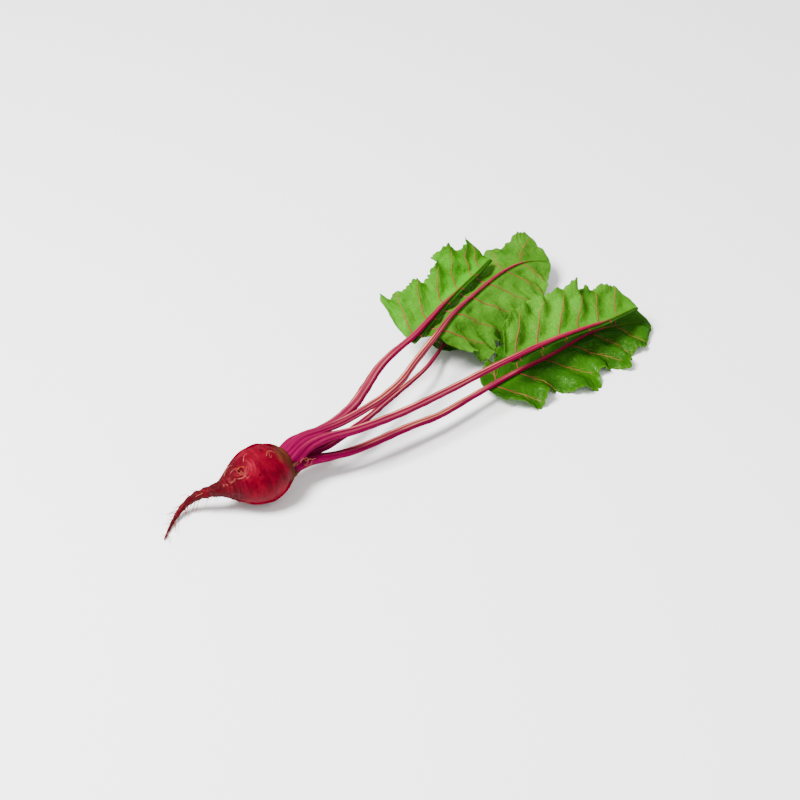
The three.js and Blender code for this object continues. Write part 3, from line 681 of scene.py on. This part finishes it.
def root_surface():
    """The whole root as one swept skin. The profile of distance and radius is walked at an even
    pace, each place's section is square to the line through globe and tail, and its radius takes
    the relief on top. Returns the points, distances and angles of the grid."""
    rows, columns = 310, 190
    start = ROOT_PROFILE[0][0]
    straight = [root_point(d, 0, 0) for d in (start, 15, 0, -15, -26, -31)]
    line, length = curve_through(straight + TAIL_PATH[1:])
    tail_length = length - start + TAIL_START
    tail = [[TAIL_START - tail_length * share, radius] for share, radius in TAIL_RADII[2:]]
    tip = [[start - length - 0.4, 0.05]]
    profile, _ = curve_through([[d, r, 0] for d, r in ROOT_PROFILE + tail + tip])
    pace = np.linspace(0, 1, 2000)
    walked = profile(pace)
    effort = np.interp(walked[:, 0], [-109, -62, -40, -14, 29], [0.8, 0.9, 1.7, 1.2, 1.0])
    reach = np.concatenate([[0], np.cumsum(0.5 * (effort[1:] + effort[:-1]))])
    found = profile(np.interp(np.linspace(0, reach[-1], rows), reach, pace))
    distance, radius = found[:, 0], np.maximum(found[:, 1], 0.02)
    share = (start - distance) / length
    centre = line(share)
    along = unit(line(share + 0.002) - line(share - 0.002))
    along[share > 0.998] = along[share <= 0.998][-1]
    up = square_to(np.broadcast_to([0.0, 0.0, 1.0], along.shape), along)
    across = np.cross(up, along)
    angle = (np.arange(columns) * FULL_TURN / columns)[None, :]
    distances, angles = np.broadcast_arrays(distance[:, None], angle)
    fade = smooth(radius / 6)[:, None]
    relief = root_relief(distances, angles, radius[:, None]) * fade
    knobs = 0.09 * np.sin((TAIL_START - distance) / tail_length * 61)
    knobs = knobs * smooth((-36 - distance) / 10)
    skin = (radius * (1 + knobs))[:, None] + relief
    points = centre[:, None] + skin[..., None] * (
        np.cos(angles)[..., None] * across[:, None] + np.sin(angles)[..., None] * up[:, None]
    )
    floor_gap = 0.02
    points[..., 2] = np.maximum(points[..., 2], floor_gap)
    return points, distances, angles


def make_root(material):
    """The root's skin, with tables for the corky shoulder, the dark tail, the orange scars, and the
    dark pits together with painted shade in the fold troughs and the swirl's hollows."""
    points, distance, angle = root_surface()
    quads, places = grid_faces(*distance.shape, True)
    wander = 2.2 * round_ripple(distance, angle, 8, (1, 5), (0.02, 0.06))
    high = 3.5 * np.sin(angle)
    shoulder = smooth((distance + 0.8 * wander + high - 13) / 11)
    away, heading = near_mark(distance, angle, SWIRL_EYE)
    broken = smooth(0.5 + 0.9 * round_ripple(distance, angle, 10, (4, 16), (0.05, 0.3)))
    arms = 0.7 * broken * bell(away, 6.5) * smooth(swirl_wave(away, heading))
    flecks = smooth((round_ripple(distance, angle, 9, (12, 36), (0.1, 0.4), 24) - 1.5) / 0.6)
    near_cone = smooth((-18 - distance) / 12)
    scar = np.clip(arms + (0.2 + 0.25 * near_cone) * flecks, 0, 1)
    pits = 0
    for mark, spread, depth in PITS:
        pits += depth * bell(near_mark(distance, angle, mark)[0], spread)
    # Painted shade in the hollows between the swirl's folds, and in the troughs of the cone's fine
    # folds.
    hollows = 0.35 * bell(away, 8) * smooth(-swirl_wave(away, heading))
    fold_trough_shade = near_cone * smooth((-fold_wave(distance, angle) - 0.45) / 0.5)
    tables = {
        "shoulder": shoulder,
        "tail": 0.95 * smooth((-18 - distance) / 15),
        "scar": scar,
        # Dark pits with painted shade in the fold troughs and swirl hollows.
        "crease": np.clip(pits + 0.4 * fold_trough_shade + hollows, 0, 0.95),
    }
    add_piece(
        "beet_skin", points.reshape(-1, 3), quads, places, end_caps(*distance.shape), tables,
        material, ["beet_root"],
    )


def seeded_draws(seed, count):
    """The plain repeatable draws that place the side roots and stubs: each number is the last
    one times 16807, kept under 2147483647, as a share of it."""
    values = []
    for _ in range(count):
        seed = (seed * 16807) % 2147483647
        values.append(seed / 2147483647)
    return np.array(values)


def make_side_roots(material):
    """Side roots of the tail where the solid has them, with many finer hairs between them, and
    the thin roots that hug the skin. Each leaves sideways and sweeps on along the tail, drooping
    by the square of its share, with a small wriggle."""
    tail, _ = curve_through(TAIL_PATH)
    draws = seeded_draws(SEED, ROOTLETS * 4).reshape(ROOTLETS, 4)
    place = 0.2 + 0.62 * (np.arange(ROOTLETS) + 0.5 * draws[:, 0]) / ROOTLETS
    turn = draws[:, 1] * FULL_TURN
    reach = read_rows(TAIL_RADII, place) + 4 + 11 * draws[:, 2] * draws[:, 3]
    thick = np.full(ROOTLETS, 0.5)
    rng = np.random.default_rng(11)
    hairs = 120
    hair_place = np.clip(0.05 + 0.93 * rng.random(hairs) ** 0.9, 0, 0.98)
    place = np.concatenate([place, hair_place])
    turn = np.concatenate([turn, rng.random(hairs) * FULL_TURN])
    hair_reach = read_rows(TAIL_RADII, hair_place) + 1.5 + 7 * rng.random(hairs) ** 2
    reach = np.concatenate([reach, hair_reach])
    thick = np.concatenate([thick, 0.1 + 0.16 * rng.random(hairs)])
    start = tail(place)
    along = unit(tail(place + 0.004) - tail(place - 0.004))
    out = unit(np.stack([0 * turn, np.cos(turn), 0.2 + np.sin(turn)], -1))
    share = np.linspace(0, 1, 14)[None, :, None]
    length = reach[:, None, None]
    wriggle = 0.05 * length * np.sin(share * 9 + turn[:, None, None] * 5) * share
    centres = start[:, None] + out[:, None] * length * share
    centres = centres + along[:, None] * (length * share**2 * 0.8 + wriggle)
    centres[..., 2] = np.maximum(centres[..., 2] - 3 * share[..., 0] ** 2, 0.3 + thick[:, None])
    facing = np.broadcast_to(along[:, None], centres.shape)
    radius = thick[:, None] * (1 - 0.75 * share[..., 0])
    tables = {"share": np.broadcast_to(share[..., 0], radius.shape) * 1.0}
    add_tubes("side_roots", centres, facing, radius, radius, 6, tables, material)

    rows = np.array(SURFACE_ROOTS + [
        [-20, 1.2, 4, -0.35, -0.2], [-17, 1.15, -6, 0.3, -0.3], [-27, 1.5, 7, -0.2, 0.15],
        [5, 1.2, 4, 0.28, -0.1], [9, 1.42, -4, -0.2, 0.12], [-33, 0.7, 8, 0.3, 0.1],
        [-30, 2.4, 10, 0.2, -0.1], [-36, 3.3, 12, 0.3, 0.15], [-26, 5.4, 9, 0.25, 0.1],
    ])
    share = np.linspace(0, 1, 26)[None]
    distance = rows[:, :1] + rows[:, 2:3] * share
    angle = rows[:, 1:2] + rows[:, 3:4] * share + rows[:, 4:5] * np.sin(math.pi * share)
    profile = np.array(ROOT_PROFILE)[::-1]
    skin = np.interp(distance, profile[:, 0], profile[:, 1])
    skin = skin + root_relief(distance, angle, skin)
    centres = root_point(distance, skin + 0.05, angle)
    facing = centres - root_point(distance, 0 * skin, angle)
    thick = np.where(np.arange(len(rows)) < len(SURFACE_ROOTS), 0.42, 0.28)
    radius = thick[:, None] * (1 - 0.6 * share)
    tables = {"share": 0.25 + 0.6 * np.broadcast_to(share, radius.shape)}
    add_tubes("skin_roots", centres, facing, radius, radius * 0.8, 6, tables, material)


def make_crown_threads(material):
    """Pale root hairs that cling to the stalk bases: thin lines with a slow bow and a wriggle."""
    starts = np.array([[34, -11.5, 27], [36, -10, 30], [33, -12, 24.5], [30, -13, 29]])
    runs = np.array([[11, -1.5, -2.5], [-2, -4, -5.5], [7, -3, 1.5], [3, -3.5, 5]])
    bows = np.array([[0, -2, 2], [2, -1.5, 0], [0, -1.5, -2], [-2, 0, 1]])
    share = np.linspace(0, 1, 18)[None, :, None]
    centres = starts[:, None] + runs[:, None] * share + bows[:, None] * np.sin(math.pi * share)
    centres = centres + 0.3 * np.sin(share * 14 + starts[:, None, :1])
    facing = np.broadcast_to(np.array([0.2, -0.7, 0.7]), centres.shape)
    radius = np.broadcast_to(0.32 * (1 - 0.6 * share[..., 0]), centres.shape[:2])
    tables = {"share": np.broadcast_to(0.35 + 0.2 * share[..., 0], radius.shape)}
    add_tubes("crown_threads", centres, facing, radius, radius, 6, tables, material)


def make_stubs(material):
    """Stubs of old leaf bases round the crown: short tapered pegs, flat across, ragged at the
    tip."""
    angle = np.radians(STUB_ANGLES)
    lean = seeded_draws(SEED, ROOTLETS * 4 + len(STUB_ANGLES))[-len(STUB_ANGLES):]
    foot = root_point(*STUB_FOOT, angle)
    tip = root_point(STUB_TIP[0] + lean, STUB_TIP[1], angle + STUB_LEAN)
    share = np.linspace(0, 1, 12)
    centres = foot[:, None] + (tip - foot)[:, None] * share[None, :, None]
    outwards = foot - root_point(STUB_FOOT[0], 0, angle)
    facing = np.broadcast_to(outwards[:, None], centres.shape)
    radius = STUB_RADIUS * (1 - 0.72 * share) * (1 + 0.08 * np.sin(share * 30))
    radius = np.broadcast_to(radius, centres.shape[:2])
    add_tubes("old_leaf_stubs", centres, facing, radius, radius * 0.8, 10, {}, material)


# Leaves


def frame_at(leaf, t):
    """Where a leaf's middle line runs at a share of its length: the place, the way along, the
    normal of the shown side, which turns from the crown's facing over the first stretch, and the
    way across to the left."""
    line = leaf["line"]
    point = line(t)
    along = unit(line(t + 0.0005) - line(t - 0.0005))
    turned = smooth(t / TWIST_SHARE)[..., None]
    facing = np.array(leaf["base_facing"]) * (1 - turned) + np.array(leaf["facing"]) * turned
    normal = square_to(facing, along)
    return point, along, normal, np.cross(normal, along)


def blade_length(leaf):
    """The length of a leaf's middle line from the foot of the blade on."""
    return leaf["length"] * (1 - leaf["blade_from"])


def lobes_at(side, s, column):
    """The sum of the half blade's single lobes: each a bell of its own spread at its place."""
    return sum((lobe[column] * bell(s - lobe[0], lobe[1]) for lobe in side["lobes"]), 0 * s)


def half_width(side, s):
    """Half width of a half blade: a rise and a fall to powers of the share, a slow wave, the
    single lobes, and an uneven scalloped margin."""
    widest = OUTLINE_RISE / (OUTLINE_RISE + OUTLINE_FALL)
    held = np.clip(s, 0, 1)
    outline = held**OUTLINE_RISE * (1 - held) ** OUTLINE_FALL
    outline = outline / (widest**OUTLINE_RISE * (1 - widest) ** OUTLINE_FALL)
    wave = 1 + 0.05 * np.sin(FULL_TURN * (side["waves"] * 0.5 * s + side["phase"]))
    body = (side["width"] * wave + lobes_at(side, s, 2)) * outline
    seed = int(side["phase"] * 100) + int(side["width"])
    uneven = ripple(s, 0 * s, seed, 6, 13)
    scallops = np.abs(np.sin(math.pi * (21 * s + 0.7 * uneven))) - 0.64
    ragged = 1.3 * uneven + 1.5 * scallops + 0.3 * ripple(s, 0 * s, seed + 1, 35, 60)
    return FOOT_HALF_WIDTH + body + side["fine"] * ragged * np.minimum(outline, 1) ** 0.5


def pleats(side, s, reach, v, length):
    """Hollows between the side veins: traces each point back along its vein to the midrib, and
    rises from 0 at each vein to 1 half way to the next."""
    back_to = s - (0.5 * reach + 0.25 * reach * np.abs(v)) / length
    places = np.array([-0.16] + side["veins"] + [side["veins"][-1] + 0.16])
    phase = np.interp(back_to, places, np.arange(len(places)))
    return np.sin(math.pi * phase) ** 2


def blade_points(leaf, s, v):
    """Points of a blade's middle surface. s runs from foot to tip, v from -1 at the right margin
    over 0 at the midrib to 1 at the left one. Each half is walked outwards from under the rib,
    turning by its fold and then by its curl. Square to itself it takes its ruffles, which grow
    with the cube of v, finer ones that grow with a higher power, the hollows between the side
    veins and a crinkle. Heights are eased so that nothing comes below the floor."""
    s, v = np.broadcast_arrays(np.asarray(s, float), np.asarray(v, float))
    t = leaf["blade_from"] + (BLADE_END - leaf["blade_from"]) * s
    point, _, normal, across = frame_at(leaf, t)
    length = blade_length(leaf)
    rib_width = read_rows(leaf["stalk"], t, 1)
    rib_depth = read_rows(leaf["stalk"], t, 2)
    shown_up = 1 if leaf["shown_side"] == "upper" else -1
    found = np.zeros(s.shape + (3,))
    for name, sign in (("left", 1), ("right", -1)):
        side = leaf[name]
        width = half_width(side, s)
        reach = np.abs(v) * width
        fold = np.radians(read_rows(side["fold"], s))
        curl = math.radians(side["curl"])

        def angle_at(x):
            bend = fold * smooth((x - 0.6 * rib_width) / side["crease"])
            return bend + curl * (x / (side["width"] + 1)) ** 2

        walk = 40
        out = np.zeros(s.shape)
        rise = -(rib_depth + CLEARANCE + SHEET / 2)
        for k in range(walk):
            angle = angle_at((k + 0.5) / walk * reach)
            out += np.cos(angle) * reach / walk
            rise += np.sin(angle) * reach / walk
        waves = np.sin(FULL_TURN * (side["waves"] * s + side["phase"]))
        waves += 0.35 * np.sin(FULL_TURN * (side["waves"] * 1.36 * s + 2.3 * side["phase"]))
        height = side["ruffle"] * waves * smooth(np.minimum(s, 1 - s) * 9) + lobes_at(side, s, 3)
        ruffle = height * np.abs(v) ** 3
        seed = int(side["width"]) + 40
        ends = smooth(np.minimum(s, 1 - s) * 14)
        ruffle += side["fine"] * ends * 1.3 * ripple(s, 0 * s, seed, 8, 14) * np.abs(v) ** 5
        ruffle += side["fine"] * ends * 0.45 * ripple(s, 0 * s, seed + 1, 22, 36) * np.abs(v) ** 9
        open_part = smooth((reach - rib_width - 1) / 7)
        hollow = pleats(side, s, reach, v, length) * open_part * smooth((1.04 - np.abs(v)) / 0.3)
        ruffle += shown_up * side["pleat"] * hollow * min(side["width"] / 30, 1)
        crinkle = 0.5 * ripple(s * length, reach, seed + 2, 0.03, 0.07)
        crinkle += 0.1 * ripple(s * length, reach, seed + 3, 0.12, 0.24, 20)
        ruffle += crinkle * open_part * min(side["fine"], 1)
        edge = angle_at(reach)
        out -= np.sin(edge) * ruffle
        rise += np.cos(edge) * ruffle
        half = point + (sign * out)[..., None] * across + rise[..., None] * normal
        found = np.where((v * sign >= 0)[..., None], half, found)
    softness = 0.8
    above = (found[..., 2] - SHEET / 2) / softness
    found[..., 2] = SHEET / 2 + softness * np.logaddexp(0, above)
    return found


def blade_grid(leaf):
    """Rows of s and columns of v, closer together at the foot, the tip and the margins."""
    columns = 109 if leaf["rows"] > 150 else 61
    spacing = np.linspace(-1, 1, columns)
    pace = np.linspace(0, 1, leaf["rows"])
    rows = pace - 0.055 * np.sin(FULL_TURN * pace)
    return rows, 0.62 * spacing + 0.38 * np.sin(spacing * math.pi / 2)


def on_grid(table, rows, columns, s, v):
    """A table's values between its grid points, by straight stretches both ways."""
    row = np.interp(s, rows, np.arange(len(rows)))
    column = np.interp(v, columns, np.arange(len(columns)))
    i = np.minimum(row.astype(int), len(rows) - 2)
    j = np.minimum(column.astype(int), len(columns) - 2)
    a, b = (row - i)[..., None], (column - j)[..., None]
    near = table[i, j] * (1 - b) + table[i, j + 1] * b
    return near * (1 - a) + (table[i + 1, j] * (1 - b) + table[i + 1, j + 1] * b) * a


def make_blade(name, leaf, material):
    """The blade as a closed sheet: its middle surface set out both ways along the normals, thinner
    towards the margin, the two faces joined round the edge. Its tables tell the upper side, the young
    yellow green, the margin, and the painted shade where a half is folded under the rib. The UV map
    counts in tenths of a metre."""
    v = leaf["columns"][None, :]
    middle, normals = leaf["middle"], leaf["normals"]
    rows, columns = middle.shape[:2]
    thickness = SHOWN_SHEET * (1 - 0.5 * smooth((np.abs(v) - 0.8) / 0.2))[..., None]
    front = middle + normals * thickness / 2
    rear = middle - normals * thickness / 2
    count = rows * columns
    grid, places = grid_faces(rows, columns, False)
    index = np.arange(count).reshape(rows, columns)
    loop = np.concatenate([index[:-1, 0], index[-1, :-1], index[:0:-1, -1], index[0, :0:-1]])
    after = np.roll(loop, -1)
    rim = np.stack([after, loop, loop + count, after + count], -1)
    quads = np.concatenate([grid, grid[:, ::-1] + count, rim])
    length = blade_length(leaf)
    span = leaf["left"]["width"] + leaf["right"]["width"]
    laid = places * np.array([length, span * columns / (columns - 1)]) / 100
    rim_laid = np.zeros((len(rim), 4, 2))
    all_places = np.concatenate([laid, laid[:, ::-1], rim_laid])
    points = np.concatenate([front.reshape(-1, 3), rear.reshape(-1, 3)])
    upper = 1.0 if leaf["shown_side"] == "upper" else 0.0
    edge = np.broadcast_to(smooth((np.abs(v) - 0.9) / 0.1), (rows, columns)).ravel()
    folded = np.stack([read_rows(leaf[side]["fold"], leaf["places"]) for side in ("right", "left")])
    # Painted shade on a half that folds under the rib, strongest near the rib.
    tucked_shade = np.where(v < 0, folded[0][:, None], folded[1][:, None]) < -90
    tucked_shade = (tucked_shade * smooth((0.6 - np.abs(v)) / 0.3)).ravel()
    fresh = 0.75 + 0.25 * ripple(leaf["places"][:, None] * 2, v, 17, 0.2, 0.8)
    tables = {
        "upper": np.concatenate([np.full(count, upper), np.full(count, 1 - upper)]),
        "young": np.tile((leaf["young"] * np.clip(fresh, 0, 1)).ravel(), 2),
        "edge": np.tile(edge, 2),
        "tucked_shade": np.tile(tucked_shade, 2),
    }
    add_piece(
        name.replace("leaf", "blade"), points, quads, all_places, [], tables, material,
        [name + "_blade"],
    )


def vein_network(leaf, side, seed):
    """The veins of a half blade in flat millimetres, x along and y outwards: side veins that leave
    the midrib and bend forwards as in the solid, and branches that leave them alternately forwards
    and backwards. Returns x, y, the thickness at each step and the share along each vein."""
    rng = np.random.default_rng(seed)
    length = blade_length(leaf)
    share = np.linspace(0, 1, 22)[None, :]
    starts = np.array(side["veins"])[:, None]
    width = half_width(side, np.minimum(starts + 0.1, 0.88))
    v = share * 0.93
    y = v * width
    x = starts * length + 0.5 * y + 0.25 * y * v
    wobble = 0.5 * np.sin(share * 9 + starts * 40) * share
    main = (x + wobble, y, (0.62 - 0.2 * starts) * (1 - 0.6 * share), 0.9 * share + 0 * y)
    xs, ys, thick, tone = [main[0]], [main[1]], [main[2]], [main[3]]
    for k in range(len(starts)):
        for place, way in ((0.3, 1), (0.42, -1), (0.55, 1), (0.66, -1), (0.78, 1), (0.86, -1)):
            place = place + rng.uniform(-0.05, 0.05)
            x0, y0 = np.interp(place, share[0], x[k]), np.interp(place, share[0], y[k])
            heading = math.radians(62) - way * math.radians(rng.uniform(38, 52))
            run = (1 - 0.6 * place) * rng.uniform(9, 15) * min(side["width"] / 34, 1)
            bend = way * 0.35
            turn = heading + bend * share[0]
            xs.append((x0 + run * share[0] * np.cos(turn))[None])
            ys.append((y0 + run * share[0] * np.sin(turn))[None])
            thick.append((0.27 * (1 - 0.4 * place) * (1 - 0.75 * share[0]))[None])
            tone.append((0.45 * place + 0.35 + 0.5 * share[0])[None])
    return (np.concatenate(part) for part in (xs, ys, thick, tone))


def make_veins(name, leaf, material):
    """The side veins and their branches, as slim tubes half sunk in the shown side. Each is cut
    off where it would leave the blade, and left out where only its first steps lie inside."""
    length = blade_length(leaf)
    all_s, all_v, all_thick, all_tone = [], [], [], []
    for key, sign, seed in (("left", 1, 5), ("right", -1, 6)):
        x, y, thick, tone = vein_network(leaf, leaf[key], seed)
        share = np.linspace(0, 1, x.shape[1])
        outside = (x / length > 0.975) | (y > 0.95 * half_width(leaf[key], np.clip(x / length, 0, 1)))
        inside = np.where(outside.any(axis=1), np.argmax(outside, axis=1) - 1, len(share) - 1)
        for k in np.flatnonzero(inside > 5):
            kept = share * share[inside[k]]
            s = np.interp(kept, share, x[k]) / length
            v = np.interp(kept, share, y[k]) / half_width(leaf[key], np.clip(s, 0, 1))
            all_s.append(s)
            all_v.append(sign * np.clip(v, 0.004, 0.95))
            all_thick.append(thick[k])
            all_tone.append(np.interp(kept, share, tone[k]))
    s, v, thick, tone = (np.array(part) for part in (all_s, all_v, all_thick, all_tone))
    normals = unit(on_grid(leaf["normals"], leaf["places"], leaf["columns"], s, v))
    middle = on_grid(leaf["middle"], leaf["places"], leaf["columns"], s, v)
    raised = 0.45 if leaf["shown_side"] == "under" else -0.1
    centres = middle + normals * (SHOWN_SHEET / 2 + raised * thick)[..., None]
    add_tubes(
        name.replace("leaf", "veins"), centres, normals, thick, thick * 0.8, 8, {"share": tone},
        material,
    )


def make_stalk(name, leaf, material):
    """Stalk and midrib: an ellipse swept along the middle line, flared where it clasps the crown,
    with narrow ridges on the shown side, whose angles drift along the way, shallow grooves
    between them, a channel behind and fine ribs all round. Where the rib fades it gets slimmer
    and sinks by the depth that it loses."""
    rows, columns = 360, 48
    t = np.linspace(0, STALK_END, rows)
    point, _, normal, across = frame_at(leaf, t)
    flare = (1 + 0.6 * (1 - smooth(t / 0.12))) * (1.15 - 0.15 * smooth((t - 0.4) / 0.2))
    faded = smooth((t - leaf["rib_fades"][0]) / (leaf["rib_fades"][1] - leaf["rib_fades"][0]))
    wide = read_rows(leaf["stalk"], t, 1) * flare * (1 - 0.6 * faded)
    full_depth = read_rows(leaf["stalk"], t, 2) * flare
    deep = full_depth * (1 - 0.6 * faded)
    point = point - (full_depth - deep)[:, None] * normal
    angle = (np.arange(columns) * FULL_TURN / columns)[None, :]
    shape = np.ones((rows, columns)) * 0.95
    pale = np.zeros((rows, columns))
    slender = smooth((0.97 - t) / 0.3)[:, None]

    def ridge(degrees, spread):
        return bell((angle - np.radians(degrees) + math.pi) % FULL_TURN - math.pi, spread)

    for start, midway, end, strength in leaf["ridges"]:
        centre = np.interp(t, [0.05, 0.3, 0.8], [start, midway, end])[:, None]
        shape += 0.1 * ridge(centre, 0.2) * slender
        shape = shape - 0.05 * (ridge(centre + 26, 0.2) + ridge(centre - 26, 0.2)) * slender
        worn = 0.75 + 0.25 * ripple(t * 12, 0 * t, int(start), 0.3, 1)[:, None]
        # Pale ridge colour, partly a painted highlight, strongest on the upper edges.
        glow = read_rows(RIDGE_GLOW, t)[:, None]
        pale += strength * glow * worn * ridge(centre, 0.17)
    shape -= 0.2 * ridge(270, 0.45) * slender
    shape += 0.016 * np.cos(16 * angle + 2 * np.sin(t * 20)[:, None]) * slender
    # Painted shade where the surface sinks into a groove.
    groove_shade = np.clip((0.93 - shape) / 0.08, 0, 1)
    shape += 0.02 * ripple(t * 30, 0 * t, 7, 0.3, 1)[:, None]
    points = point[:, None] + shape[..., None] * (
        np.cos(angle)[..., None] * (wide[:, None] * across)[:, None]
        + np.sin(angle)[..., None] * (deep[:, None] * normal)[:, None]
    )
    points[..., 2] = np.maximum(points[..., 2], 0.1)
    quads, places = grid_faces(rows, columns, True)
    tables = {
        "pale": np.clip(pale, 0, 1),
        "groove_shade": groove_shade * 0.8,
        "share": np.repeat(t, columns),
        "faded": np.repeat(faded, columns),
    }
    add_piece(
        name.replace("leaf", "stalk"), points.reshape(-1, 3), quads, places,
        end_caps(rows, columns), tables, material, [name + "_stalk"],
    )


# The whole plant
root_material = skin_of_root()
fibre_material = skin_of_side_roots()
make_root(root_material)
make_side_roots(fibre_material)
make_stubs(skin_of_stub())

stalk_material = skin_of_stalk()
vein_material = skin_of_vein()
make_crown_threads(vein_material)
blade_material = skin_of_blade()
for name, leaf in LEAVES.items():
    leaf["line"], leaf["length"] = curve_through(leaf["path"])
    leaf["places"], leaf["columns"] = blade_grid(leaf)
    leaf["middle"] = blade_points(leaf, leaf["places"][:, None], leaf["columns"][None, :])
    slopes = [np.gradient(leaf["middle"], axis=way) for way in (0, 1)]
    leaf["normals"] = unit(np.cross(*slopes))
    make_stalk(name, leaf, stalk_material)
    make_veins(name, leaf, vein_material)
    make_blade(name, leaf, blade_material)


# Floor and light
def make_floor():
    """A wide pale floor just below the plant's lowest point."""
    reach = 6.0
    mesh = bpy.data.meshes.new("floor")
    corners = [(-reach, -reach, 0), (reach, -reach, 0), (reach, reach, 0), (-reach, reach, 0)]
    mesh.from_pydata(corners, [], [(0, 1, 2, 3)])
    material, tree = start_material("pale_floor")
    look = {"Base Color": (0.95, 0.95, 0.95, 1), "Roughness": 0.6, "Specular IOR Level": 0.2}
    feed(tree, tree.nodes["Principled BSDF"], look)
    mesh.materials.append(material)
    floor = bpy.data.objects.new("floor", mesh)
    bpy.context.scene.collection.objects.link(floor)


def add_softbox(name, towards, distance, size, power):
    """A square soft light that points at the camera's aim, and stands off from it by the distance
    in the given direction."""
    light = bpy.data.lights.new(name, "AREA")
    light.shape = "SQUARE"
    light.size = size
    light.energy = power
    lamp = bpy.data.objects.new(name, light)
    way = Vector(towards).normalized()
    lamp.location = Vector(AIM * MM) + way * distance
    lamp.rotation_mode = "QUATERNION"
    lamp.rotation_quaternion = (-way).to_track_quat("-Z", "Y")
    bpy.context.scene.collection.objects.link(lamp)


make_floor()
add_softbox("key_light", (-0.9, 0.25, 1.6), 2.2, 0.8, 185)
add_softbox("fill_light", (0.2, -1.0, 0.9), 2.4, 1.8, 18)
world = bpy.data.worlds.new("pale_room")
world.use_nodes = True
world.node_tree.nodes["Background"].inputs["Color"].default_value = (1, 1, 1, 1)
world.node_tree.nodes["Background"].inputs["Strength"].default_value = 0.85
bpy.context.scene.world = world
